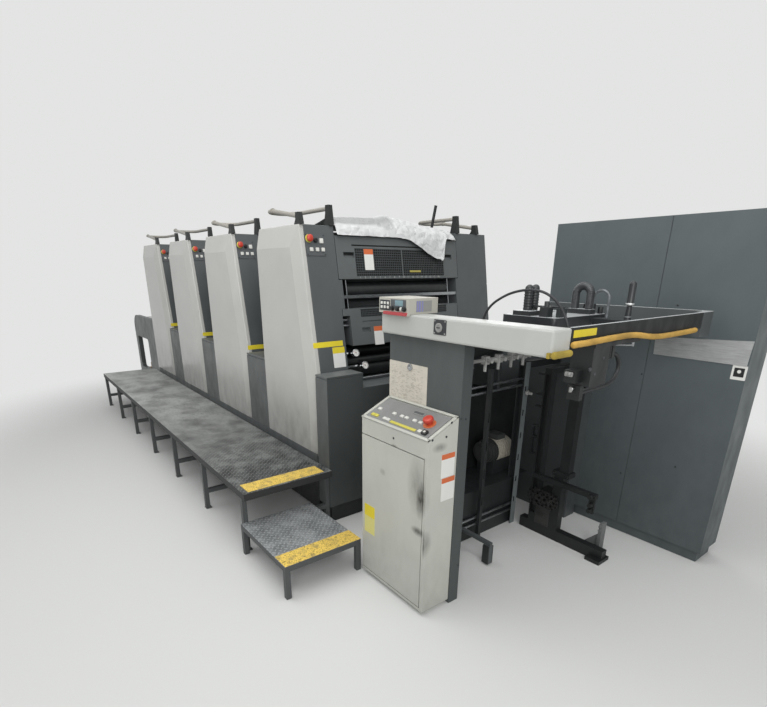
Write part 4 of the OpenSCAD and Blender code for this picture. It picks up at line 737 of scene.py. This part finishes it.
# Perforated grilles in the guards: real holes over a black plate that is the painted shade of the recess behind
def grille(width, height, pitch_x, pitch_y, web):
    """A sheet with rows of square holes."""
    bpy.ops.object.select_all(action="DESELECT")
    bpy.ops.mesh.primitive_grid_add(x_subdivisions=round(width / pitch_x), y_subdivisions=round(height / pitch_y),
                                    size=MM)
    piece = bpy.context.object
    piece.scale = (width, height, 1)
    bpy.ops.object.transform_apply(location=True, rotation=True, scale=True)
    bpy.ops.object.mode_set(mode="EDIT")
    bpy.ops.mesh.select_mode(type="FACE")
    bpy.ops.mesh.select_all(action="SELECT")
    bpy.ops.mesh.inset(thickness=web / 2 * MM, use_individual=True)
    bpy.ops.mesh.delete(type="FACE")
    bpy.ops.object.mode_set(mode="OBJECT")
    wall = piece.modifiers.new("wall", "SOLIDIFY")
    wall.thickness = 1.5 * MM
    wall.offset = -1
    bpy.ops.object.modifier_apply(modifier=wall.name)
    return piece


def down_slope(top, s):
    """Height of a point s down the slope from the edge at height top."""
    return top - s * math.cos(SLOPE)


grilles = []
for y in (-203, 203):
    for top, s0, s1, pitch_x, pitch_y, web in ((1842, 83, 258, 17.2, 15.8, 5.0), (1384, 5, 57, 12.4, 12.75, 4.4)):
        z = down_slope(top, (s0 + s1) / 2)
        tall = s1 - s0 - 1
        grilles.append(put(grille(396, tall, pitch_x, pitch_y, web), grille_enamel, on_slope(y, z, out=-1)))
        grilles.append(put(plate(396, tall, 0.5), painted_shade_black, on_slope(y, z, out=-5.8)))
# Black plates paint the shade inside the slot above the grille and in the upper half of the hand recesses
grilles.append(put(plate(840, 7, 0.5), painted_shade_black, on_slope(0, down_slope(1842, 64), out=-5.6)))
for y in (-449.5, 449.5):
    grilles.append(put(plate(83, 17, 0.5), painted_shade_black, on_slope(y, down_slope(1842, 117), out=-13.4)))
gather("guard_grilles", along_units(grilles), smooth=20)

# Control plates: stop button on its ring, key knob, white keys, four screws
stop_set = [put(turned([(0, 24), (2.5, 24), (3, 22)]), yellow_plastic, on_slope(-740, down_slope(1838, 30), out=4)),
            put(turned([(0, 10), (13, 10), (13.5, 20.5), (17, 21.5), (23, 20.5), (27, 15), (28.5, 6)]), red_plastic,
                on_slope(-740, down_slope(1838, 30), out=4)),
            put(turned([(0, 15), (3, 15), (3.5, 12.6), (14, 12.6), (15.5, 11)]), black_plastic,
                on_slope(-695, down_slope(1838, 40), out=4)),
            put(plate(5, 20, 5, 1, 0.8, 2), black_plastic, on_slope(-695, down_slope(1838, 40), out=19)),
            put(plate(25, 28, 9, 2, 1, 2), white_plastic, on_slope(-654, down_slope(1838, 42.5), out=4))]
for y in (-730, -688, -647):
    stop_set.append(put(plate(22, 22, 8, 2, 1, 2), white_plastic, on_slope(y, down_slope(1838, 94), out=4)))
for y in (-757, -633):
    for s in (8, 122):
        stop_set.append(put(turned([(0, 4.2), (1.6, 4.2), (2.2, 3.2)], 12), dark_metal,
                            on_slope(y, down_slope(1838, s), out=4)))
gather("unit_controls", along_units(stop_set))


# Stickers, left plain: an orange band over a white field, or one colour
def sticker(width, height, place, lower, upper=None, share=0.25):
    """A plain sticker of one or two colours."""
    parts = [put(plate(width, height, 0.8, 2, 0, 2), lower, place)]
    if upper:
        band = place @ Matrix.Translation((0, height * (0.5 - share / 2) * MM, 0.8 * MM))
        parts.append(put(plate(width, height * share, 0.3, 1, 0, 2), upper, band))
    return parts


gather("guard_stickers", sticker(75, 133, on_slope(-291, 1692), white_print, orange_print)
       + sticker(78, 124, on_slope(-267, 1200), white_print, orange_print))
side_marks = sticker(225, 34, on_slope(-685, 1173), yellow_print)
side_marks += sticker(93, 132, on_slope(-612, 1085), white_print, yellow_print, 0.3)
for n in (1, 2, 3):
    side_marks += sticker(225, 34, on_slope(-685, 1036, n), yellow_print)
gather("side_box_stickers", side_marks)
gather("guard_plate", [put(plate(104, 13, 1.2, 1, 0.3, 2), gold_print, on_slope(115, 1618))])
gather("console_stickers", sticker(84, 116, on_feeder_end(1594, -849, 785), white_print, orange_print, 0.22)
       + sticker(84, 116, on_feeder_end(1594, -842, 666), white_print, orange_print, 0.22))
gather("door_sticker", sticker(88, 168, on_operator_side(1165, -977, 361), pale_yellow, yellow_print, 0.4),
       "console_door")
gather("crossbar_sticker", sticker(153, 27, on_feeder_end(2050, -641.5, 1410.5), yellow_print))
gather("cabinet_sign", sticker(67, 74, on_operator_side(2185, 635, 1130), white_print)
       + [put(plate(46, 46, 0.5, 1, 0, 2), black_plastic, on_operator_side(2185, 634.2, 1132)),
          put(turned([(0, 9), (0.4, 8.6)], 20), white_print, on_operator_side(2185, 633.7, 1136))])

# Plain numbers 1 to 18 over the ink keys
numbers = []
for i in range(18):
    bpy.ops.object.select_all(action="DESELECT")
    bpy.ops.object.text_add()
    figure = bpy.context.object
    figure.data.body = str(i + 1)
    figure.data.size = 19 * MM
    figure.data.align_x = "CENTER"
    figure.data.align_y = "CENTER"
    figure.data.extrude = 0.2 * MM
    bpy.ops.object.convert(target="MESH")
    numbers.append(put(bpy.context.object, number_paint, on_slope(-377 + i * 42.2, 1580, out=0.3)))
gather("key_numbers", along_units(numbers))

# Dial gauges in the notch: a bright bezel, a white face with its ticks, a red needle
GAUGE_TILT = math.radians(15)
gauges = []
for y, z in ((-466, 1092), (-400, 1003)):
    origin = (front_x(z) - 40 + 22 * math.cos(GAUGE_TILT), y, z + 22 * math.sin(GAUGE_TILT))
    face = face_frame(origin, (0, 1, 0), (-math.sin(GAUGE_TILT), 0, math.cos(GAUGE_TILT)))
    gauges.append(put(turned([(0, 26.2), (4, 27), (6.5, 26.5), (7.5, 25), (7, 23.4), (3, 23), (2.9, 1)], 40),
                      gauge_steel, face))
    gauges.append(put(turned([(2.9, 22.8), (3.4, 22.8), (3.5, 22)], 40), white_print, face))
    for k in range(28):
        angle = math.radians(225 - k * 10)
        long_tick = k % 3 == 0
        tick = face @ Matrix.Rotation(angle, 4, "Z") @ Matrix.Translation((19 * MM, 0, 3.5 * MM))
        gauges.append(put(plate(5 if long_tick else 3, 1.2 if long_tick else 0.7, 0.3), black_plastic, tick))
    needle = face @ Matrix.Rotation(math.radians(150), 4, "Z") @ Matrix.Translation((6 * MM, 0, 3.9 * MM))
    gauges.append(put(plate(24, 1.4, 0.5), red_plastic, needle))
    gauges.append(put(turned([(3.5, 3), (5.2, 2.6)], 16), black_plastic, face))
gather("gauge_dials", gauges)

# Console top: light border round the dark field, keys, the big stop button and rockers
border = []
for u, v, w, h in ((247, 7, 494, 15), (247, 193.5, 494, 14), (8, 100, 16, 200), (486, 100, 16, 200)):
    border.append(put(plate(w, h, 6, 0, 1.5, 2), console_enamel, on_console(u, v, 3)))
gather("console_border", border)
keys = []
for u in (59, 86):
    keys.append(put(plate(23, 17, 6.5, 2, 1, 2), yellow_plastic, on_console(u, 36)))
for u in (151, 176):
    keys.append(put(plate(22, 16, 6.5, 2, 1, 2), white_plastic, on_console(u, 36)))
for u in (55, 169, 227, 261, 318, 360):
    keys.append(put(plate(22, 16, 6.5, 2, 1, 2), white_plastic, on_console(u, 86)))
keys.append(put(plate(181, 15, 3, 1, 0.5, 2), yellow_plastic, on_console(288.5, 31.5)))
keys.append(put(plate(24, 17, 7, 2, 1, 2), white_plastic, on_console(406, 36)))
keys.append(put(plate(30, 26, 11, 3, 1.5, 3), black_plastic, on_console(437, 37)))
keys.append(put(plate(12, 12, 12.5, 2, 1, 2), white_plastic, on_console(437, 37)))
keys.append(put(plate(75, 24, 4, 3, 1, 3), grey_print, on_console(295.5, 139)))
keys.append(put(plate(67, 16, 4.4, 2, 0, 3), plate_plastic, on_console(295.5, 139)))
keys.append(put(turned([(0, 31), (2, 31), (3, 29)], 32), orange_print, on_console(407, 98)))
keys.append(put(turned([(0, 15), (18, 15), (19, 24), (22, 25.5), (30, 25.5), (35, 23), (37, 19), (37.5, 12)], 32),
                red_plastic, on_console(407, 98)))
gather("console_controls", keys)

# Control box on the inner end of the beam
box = [put(plate(76, 48, 1.2, 2, 0.3, 2), dark_metal, on_operator_side(1126, -856, 1469))]
for i in range(3):
    for j in range(2):
        box.append(put(plate(15, 13, 2.4, 2, 0.5, 2), white_plastic,
                       on_operator_side(1102 + i * 24, -856, 1460 + j * 19)))
box.append(put(plate(112, 44, 1.0, 2, 0.3, 2), plate_plastic, on_operator_side(1226, -856, 1476)))
box.append(put(plate(58, 26, 1.8, 2, 0.4, 2), display_glass, on_operator_side(1232, -856, 1482)))
for x in (1186, 1226, 1274):
    box.append(put(turned([(0, 11.5), (2, 11.5), (3, 10), (13, 9.5), (14, 8)], 24), black_plastic,
                   on_operator_side(x, -856, 1457)))
box.append(put(turned([(0, 7.5), (8, 7.5), (9, 6.5)], 20), white_plastic, on_operator_side(1251, -856, 1457)))
box.append(put(plate(168, 15, 10, 1, 1, 2), red_strip, on_operator_side(1208, -856, 1434)))
box.append(put(plate(98, 50, 0.8, 1, 0, 2), grey_print, on_feeder_end(1295, -756, 1468)))
for y, w in ((-799, 7), (-784, 13), (-766, 8)):
    box.append(put(plate(w, 48, 1.2, 0, 0, 2), blue_print, on_feeder_end(1295, y, 1468)))
gather("control_box_front", box)

# Paper note on the column, held by a ring magnet
note = [put(plate(283, 195, 1.2, 1, 0, 2), note_paper, on_operator_side(1233.5, -792, 1097.5)),
        put(turned([(0, 17), (5, 17), (6, 15.5), (6, 11.5), (5, 10), (1.2, 10), (1.3, 4)], 28), gauge_steel,
            on_operator_side(1252, -793.2, 1178))]
gather("paper_note", note)

# Beam: a dark catch plate on its face, with a round lock
catch = [put(plate(76, 65, 2.5, 4, 0.8, 3), dark_metal, on_operator_side(1492.5, -840, 1394)),
         put(turned([(0, 20), (4, 20), (5, 18.5), (5, 14), (3.4, 13.4), (3.4, 4)], 28), grey_print,
             on_operator_side(1488, -842.5, 1392)),
         put(plate(20, 4, 2, 1, 0, 2), black_plastic, on_operator_side(1488, -845.9, 1392))]
for x, z in ((1461, 1420), (1524, 1420), (1461, 1368), (1524, 1368)):
    catch.append(put(turned([(0, 4), (1.4, 3.4)], 12), grey_print, on_operator_side(x, -842.5, z)))
gather("beam_plate", catch)

# Sheet-metal screws with crossed slots on the covers
screws = []
for place in ([on_operator_side(x, 635, z) for x, z in ((1708, 1046), (1829, 1447), (1993, 544), (1693, 403))]
              + [on_feeder_end(1599, y, z) for y, z in ((-787, 995), (-754, 989), (-737, 209))]
              + [on_feeder_end(1594, y, z) for y, z in ((-840, 987), (-869, 926), (-954, 927))]
              + [on_operator_side(1355, -977, 876)]):
    screws.append(put(turned([(0, 5.5), (1.6, 5.5), (2.4, 4.2)], 16), dark_metal, place))
    for turn in (0, 90):
        slot = place @ Matrix.Rotation(math.radians(turn + 20), 4, "Z") @ Matrix.Translation((0, 0, 2.3 * MM))
        screws.append(put(plate(6, 1.2, 0.4), black_plastic, slot))
gather("cover_screws", screws)

# Toe board along the inner edge of the deck
gather("toe_board", [put(plate(3890, 58, 4, 0, 1, 2), toe_enamel, on_operator_side(-1570, -825, 429.5))])

# Yellow strips along the edges of the deck and the step
gather("deck_strip", [put(plate(122, 519, 1.0, 3, 0.3, 3), yellow_tape, on_top(471, -1135.5, 400))])
gather("step_strip", [put(plate(120, 474, 1.0, 3, 0.3, 3), yellow_tape, on_top(1017, -1211, 200))])


# Safety bar: a foam tube on a wire, waving a little, and the foam pad at the crossbar's corner
def foam_tube(points, radius, sides=28):
    """A foam tube along the points, with rounded ends and a slack surface."""
    long = length_of(points)
    count = max(6, round(long / 12))
    rings = [(0, radius * 0.55), (radius * 0.25, radius * 0.88), (radius * 0.7, radius)]
    for i in range(1, count):
        swell = 1 + 0.02 * math.sin(i * 1.7) + 0.015 * math.sin(i * 0.63 + 1)
        rings.append((long * i / count, radius * swell))
    rings += [(long - radius * 0.7, radius), (long - radius * 0.25, radius * 0.88), (long, radius * 0.55)]
    rings.sort()
    return lay_along(turned(rings, sides), points, (0, 0, 1))


FOAM_LINE = [(2063.5, -738, 1374), (2063.5, -700, 1375), (2063.5, -650, 1375), (2063.5, -565, 1377),
             (2063.5, -488, 1379), (2063.5, -412, 1380), (2063.5, -345, 1380), (2063.5, -278, 1377),
             (2063.5, -202, 1368), (2063.5, -126, 1359), (2063.5, -46, 1355), (2063.5, 33, 1354.5),
             (2063.5, 120, 1355), (2063.5, 204, 1356), (2063.5, 262, 1357), (2063.5, 305, 1358)]
bar = foam_tube(FOAM_LINE, 12)
gather("foam_bar", [put(bar, foam, Matrix.Identity(4))], smooth=60)
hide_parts("safety_bar")
pad = foam_tube([(2063, -853, 1347), (2063, -815, 1347), (2063, -778, 1347), (2063, -742, 1347)], 12.8)
gather("foam_pad", [put(pad, pad_foam, Matrix.Identity(4)),
                    put(plate(20, 12, 12, 2, 2, 3), pad_foam,
                        face_frame((2044, -853, 1345), (0, 0, 1), (1, 0, 0)))],
       smooth=60)

# Air hoses on the suction head: a ribbed duct and a thin bent pipe
def half_round(x, y, z, radius):
    """Points on the upper half circle round a point, in steps of 20 degrees."""
    return [(x - radius * math.cos(math.radians(a)), y, z + radius * math.sin(math.radians(a)))
            for a in range(20, 180, 20)]


DUCT = [(1553, 80, 1439), (1553, 80, 1460), (1553, 80, 1490), (1553, 80, 1512)]
DUCT += half_round(1593, 80, 1512, 40)
DUCT += [(1633, 80, 1512), (1633, 80, 1490), (1633, 80, 1460), (1633, 80, 1439)]
PIPE = [(1633, 112, 1415), (1633, 112, 1440), (1633, 112, 1470), (1633, 112, 1490)]
PIPE += half_round(1675, 112, 1490, 42)
PIPE += [(1717, 112, 1490), (1717, 112, 1460), (1717, 112, 1430), (1717, 112, 1400)]
duct_long = length_of(DUCT)
ribs = [(0, 18.5)]
RIB = 7
for i in range(int(duct_long / RIB)):
    ribs += [(i * RIB + 1.2, 18.7), (i * RIB + 2.6, 20), (i * RIB + 4.6, 20), (i * RIB + 6, 18.7)]
ribs.append((duct_long, 18.5))
duct = gather("ribbed_duct", [put(lay_along(turned(ribs, 32), DUCT, (0, 1, 0)), duct_vinyl, Matrix.Identity(4))],
              smooth=50)
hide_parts("air_hoses")
pipe_long = length_of(PIPE)
pipe_rings = [(pipe_long * i / 60, 6) for i in range(61)]
gather("bent_pipe", [put(lay_along(turned(pipe_rings, 16), PIPE, (0, 1, 0)), pipe_nylon, Matrix.Identity(4))],
       smooth=50)

# Small fittings under the crossbar: two rods, a clamp, a hose nipple, and the knob on the front post
def rod(ends, radius, finish, sides=16):
    """A straight rod with softened ends between two points in mm."""
    a, b = (Vector(end) for end in ends)
    long = (b - a).length
    rings = [(0, radius * 0.7), (radius * 0.3, radius), (long - radius * 0.3, radius), (long, radius * 0.7)]
    turn = (b - a).to_track_quat("Z", "Y").to_matrix().to_4x4()
    return put(turned(rings, sides), finish, Matrix.Translation(a * MM) @ turn)


small = [rod(((2026, -429, 1347), (2026, -212, 1326)), 5, ground_steel),
         rod(((2030, -408, 1351), (2030, -226, 1347)), 4, ground_steel),
         rod(((2030, -226, 1359), (2030, -226, 1330)), 4, ground_steel),
         rod(((2030, -408, 1359), (2030, -408, 1344)), 5, ground_steel),
         rod(((2026, -429, 1359), (2026, -429, 1340)), 5, ground_steel),
         rod(((2026, -212, 1359), (2026, -212, 1320)), 5, ground_steel),
         put(plate(34, 18, 7, 3, 1.5, 2), grey_print, on_operator_side(1983, -600, 1240)),
         rod(((1992, -607, 1243), (1992, -618, 1243)), 6, grey_print),
         rod(((1985, -556, 1176), (1985, -578, 1176)), 9, gauge_steel),
         rod(((1985, -578, 1186), (1985, -578, 1164)), 7, grey_print),
         rod(((2038, -556, 1262), (2046, -556, 1262)), 9, dark_metal),
         rod(((2038, -520, 1240), (2045.5, -520, 1240)), 8, dark_metal),
         rod(((2038, -470, 1300), (2045.5, -470, 1300)), 8, dark_metal),
         rod(((1244, 176, 910), (1262, 176, 910)), 15, fitting_plastic, 24),
         rod(((1262, 176, 910), (1288, 176, 910)), 9, fitting_plastic, 24)]
gather("small_fittings", small)

# Light ring round the grip post's collar
gather("grip_collar", [put(turned([(1469.5, 19.3), (1472, 20), (1477, 20), (1479.2, 19)], 28), brushed_sheet,
                           face_frame((1840, 80, 0), (1, 0, 0), (0, 1, 0)))])


# Dust sheet: its folds across the unit as (y, how far back it reaches, ridge x and z, front crease z), in mm
SHEET_REST = 1851.3
SHEET_FRONT = 234.2
FOLDS = [(-535, -220, 110, 1950, 1897), (-171, -220, 110, 1963, 1900), (-88, -220, 120, 1985, 1905),
         (148, -220, 120, 1955, 1891), (327, -220, 130, 1925, 1885), (420, 62, 140, 1920, 1881),
         (516, 62, 140, 1908, 1875), (531, 72, 150, 1865, 1861)]
# How far the hanging corner reaches down the guard, as (y, down)
CORNER = [(-63, 0), (-19, 2), (78, 15), (180, 72), (373, 180), (396, 118), (407, 66), (410, 0)]
ACROSS = 120
ALONG = 64
# The sheet's two side edges across the press, in mm, and how far its cloth may slide, in metres
SHEET_NEAR = -535
SHEET_FAR = 531
SLIDE_MOST = 0.014
SLIDE_ACROSS_MOST = 0.004


def between(table, y):
    """The values of a table, smoothed between its rows, at y."""
    if y <= table[0][0]:
        return table[0][1:]
    for low, high in zip(table, table[1:]):
        if y <= high[0]:
            t = (y - low[0]) / (high[0] - low[0])
            return [a + (b - a) * t for a, b in zip(low[1:], high[1:])]
    return table[-1][1:]


def sheet_point(y, share):
    """Where the cloth starts: over the back, the ridge and the crease, then down the guard in front."""
    back, ridge_x, ridge_z, crease_z = between(FOLDS, y)
    down = between(CORNER, y)[0]
    lift = 3
    line = [Vector((back, y, SHEET_REST + (ridge_z - SHEET_REST) / 3 + lift)),
            Vector((ridge_x, y, ridge_z + lift)), Vector((SHEET_FRONT - 28, y, crease_z + lift)),
            Vector((SHEET_FRONT - 4, y, SHEET_REST))]
    if down > 0.5:
        line.append(line[-1] + Vector((math.sin(SLOPE) * down + 2, 0, -math.cos(SLOPE) * down)))
    lengths = [(b - a).length for a, b in zip(line, line[1:])]
    left = share * sum(lengths)
    for a, b, long in zip(line, line[1:], lengths):
        if left <= long + 1e-6:
            return a + (b - a) * (left / long)
        left -= long
    return line[-1]


def dust_sheet_cloth():
    """The loose sheet, draped by simulation over its folds so that it falls into small wrinkles."""
    bpy.ops.object.select_all(action="DESELECT")
    support = nodes["dust_sheet"].copy()
    support.data = nodes["dust_sheet"].data.copy()
    scene.collection.objects.link(support)
    bpy.context.view_layer.objects.active = support
    support.select_set(True)
    bpy.ops.object.mode_set(mode="EDIT")
    bpy.ops.mesh.select_all(action="SELECT")
    bpy.ops.mesh.remove_doubles(threshold=0.00001)
    bpy.ops.object.mode_set(mode="OBJECT")
    for modifier in list(support.modifiers):
        support.modifiers.remove(modifier)
    bpy.ops.object.modifier_add(type="COLLISION")
    support.collision.thickness_outer = 0.002
    support.collision.cloth_friction = 30
    bpy.ops.object.select_all(action="DESELECT")
    bpy.ops.mesh.primitive_grid_add(x_subdivisions=ACROSS, y_subdivisions=ALONG, size=2)
    cloth = bpy.context.object
    start = []
    for point in cloth.data.vertices:
        y = SHEET_NEAR + (point.co.x + 1) / 2 * (SHEET_FAR - SHEET_NEAR)
        place = sheet_point(y, (point.co.y + 1) / 2) * MM
        # A first unevenness, from which the simulation makes its wrinkles
        ripple = (math.sin(y / 23 + place.x * 31) + math.sin(y / 41 - place.x * 23 + 1.3)
                  + math.sin(y / 13 + place.z * 47))
        start.append(place + Vector((0.0004, 0, 0.0006)) * ripple)
    for point, place in zip(cloth.data.vertices, start):
        point.co = place
    cover = cloth.modifiers.new("drape", "CLOTH")
    settings = cover.settings
    settings.quality = 6
    settings.mass = 0.06
    settings.tension_stiffness = 12
    settings.compression_stiffness = 12
    settings.shear_stiffness = 6
    settings.bending_stiffness = 0.08
    settings.shrink_min = -0.06
    settings.air_damping = 2
    cover.collision_settings.distance_min = 0.002
    cover.collision_settings.use_self_collision = False
    cover.point_cache.frame_start = 1
    cover.point_cache.frame_end = 26
    for frame_number in range(1, 27):
        scene.frame_set(frame_number)
    fallen = cloth.evaluated_get(bpy.context.evaluated_depsgraph_get())
    draped = [point.co.copy() for point in fallen.data.vertices]
    cloth.modifiers.remove(cover)
    scene.frame_set(1)
    # Cloth that has slid further than that is brought back
    for point, first, last in zip(cloth.data.vertices, start, draped):
        move = last - first
        move.y = min(max(move.y, -SLIDE_ACROSS_MOST), SLIDE_ACROSS_MOST)
        if move.length > SLIDE_MOST:
            move *= SLIDE_MOST / move.length
        point.co = first + move
    bpy.data.objects.remove(support)
    bpy.ops.object.select_all(action="DESELECT")
    cloth.select_set(True)
    bpy.context.view_layer.objects.active = cloth
    area = sum(face.area for face in cloth.data.polygons)
    wall = cloth.modifiers.new("thickness", "SOLIDIFY")
    wall.thickness = 0.0006
    wall.offset = 1
    bpy.ops.object.modifier_apply(modifier=wall.name)
    round_off = cloth.modifiers.new("soft", "SUBSURF")
    round_off.levels = 1
    round_off.render_levels = 1
    bpy.ops.object.modifier_apply(modifier=round_off.name)
    return cloth, area


sheet, sheet_area = dust_sheet_cloth()
gather("draped_dust_sheet", [put(sheet, fleece, Matrix.Identity(4))], smooth=80)
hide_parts("dust_sheet")


# Soft plain light and a pale floor

def area_lamp(name, place, target, size, power):
    """A large soft lamp that looks at a point."""
    lamp = bpy.data.objects.new(name, bpy.data.lights.new(name, "AREA"))
    scene.collection.objects.link(lamp)
    lamp.data.shape = "RECTANGLE"
    lamp.data.size, lamp.data.size_y = size
    lamp.data.energy = power
    lamp.location = place
    lamp.rotation_euler = (Vector(target) - Vector(place)).to_track_quat("-Z", "Y").to_euler()
    return lamp


area_lamp("ceiling_lamp", (0.5, -1.8, 4.6), (-1.0, 0.0, 0.8), (6.0, 3.0), 150)
area_lamp("side_lamp", (5.3, -3.6, 3.0), (0.4, 0.0, 0.9), (3.5, 3.0), 150)
area_lamp("far_lamp", (-4.0, 4.5, 3.8), (-1.0, 0.0, 0.8), (4.0, 3.0), 86)

BACKDROP = "#e3e4e3"


def seen_behind(tree):
    """1 for what the camera sees straight, in a gloss or through glass, 0 for the light that falls on the press."""
    camera_ray = add(tree, "ShaderNodeLightPath", out="Is Camera Ray")
    glossy_ray = add(tree, "ShaderNodeLightPath", out="Is Glossy Ray")
    clear_ray = add(tree, "ShaderNodeLightPath", out="Is Transmission Ray")
    seen = add(tree, "ShaderNodeMath", {"operation": "MAXIMUM"}, {0: camera_ray, 1: glossy_ray})
    return add(tree, "ShaderNodeMath", {"operation": "MAXIMUM"}, {0: seen, 1: clear_ray})


world = bpy.data.worlds.new("studio")
scene.world = world
world.use_nodes = True
tree = world.node_tree
light = tree.nodes["Background"]
light.inputs["Color"].default_value = (1, 1, 1, 1)
light.inputs["Strength"].default_value = 0.40
behind = add(tree, "ShaderNodeBackground", {"Color": srgb(BACKDROP), "Strength": 1})
both = add(tree, "ShaderNodeMixShader", None, {0: seen_behind(tree), 1: light.outputs[0], 2: behind})
tree.links.new(both, tree.nodes["World Output"].inputs["Surface"])

bpy.ops.mesh.primitive_plane_add(size=60)
floor = bpy.context.object
floor.name = "floor"
floor_paint, tree, shader, place = new_material("floor_paint", Base_Color=srgb("#d5d6d4"), Roughness=0.75)
# Far from the press the floor fades into the backdrop, so that no horizon shows
flat = add(tree, "ShaderNodeMapping", {"Scale": (0.8, 1, 0), "Location": (0.4, 0, 0)}, {"Vector": place})
away = add(tree, "ShaderNodeVectorMath", {"operation": "LENGTH"}, {0: flat}, "Value")
fade = add(tree, "ShaderNodeMapRange", {1: 2.6, 2: 4.6, "interpolation_type": "SMOOTHSTEP"}, {0: away})
fade = add(tree, "ShaderNodeMath", {"operation": "MULTIPLY"}, {0: fade, 1: seen_behind(tree)})
glow = add(tree, "ShaderNodeEmission", {"Color": srgb(BACKDROP), "Strength": 1})
both = add(tree, "ShaderNodeMixShader", None, {0: fade, 1: shader.outputs[0], 2: glow})
tree.links.new(both, tree.nodes["Material Output"].inputs["Surface"])
floor.data.materials.append(floor_paint)

scene.view_settings.view_transform = "Standard"
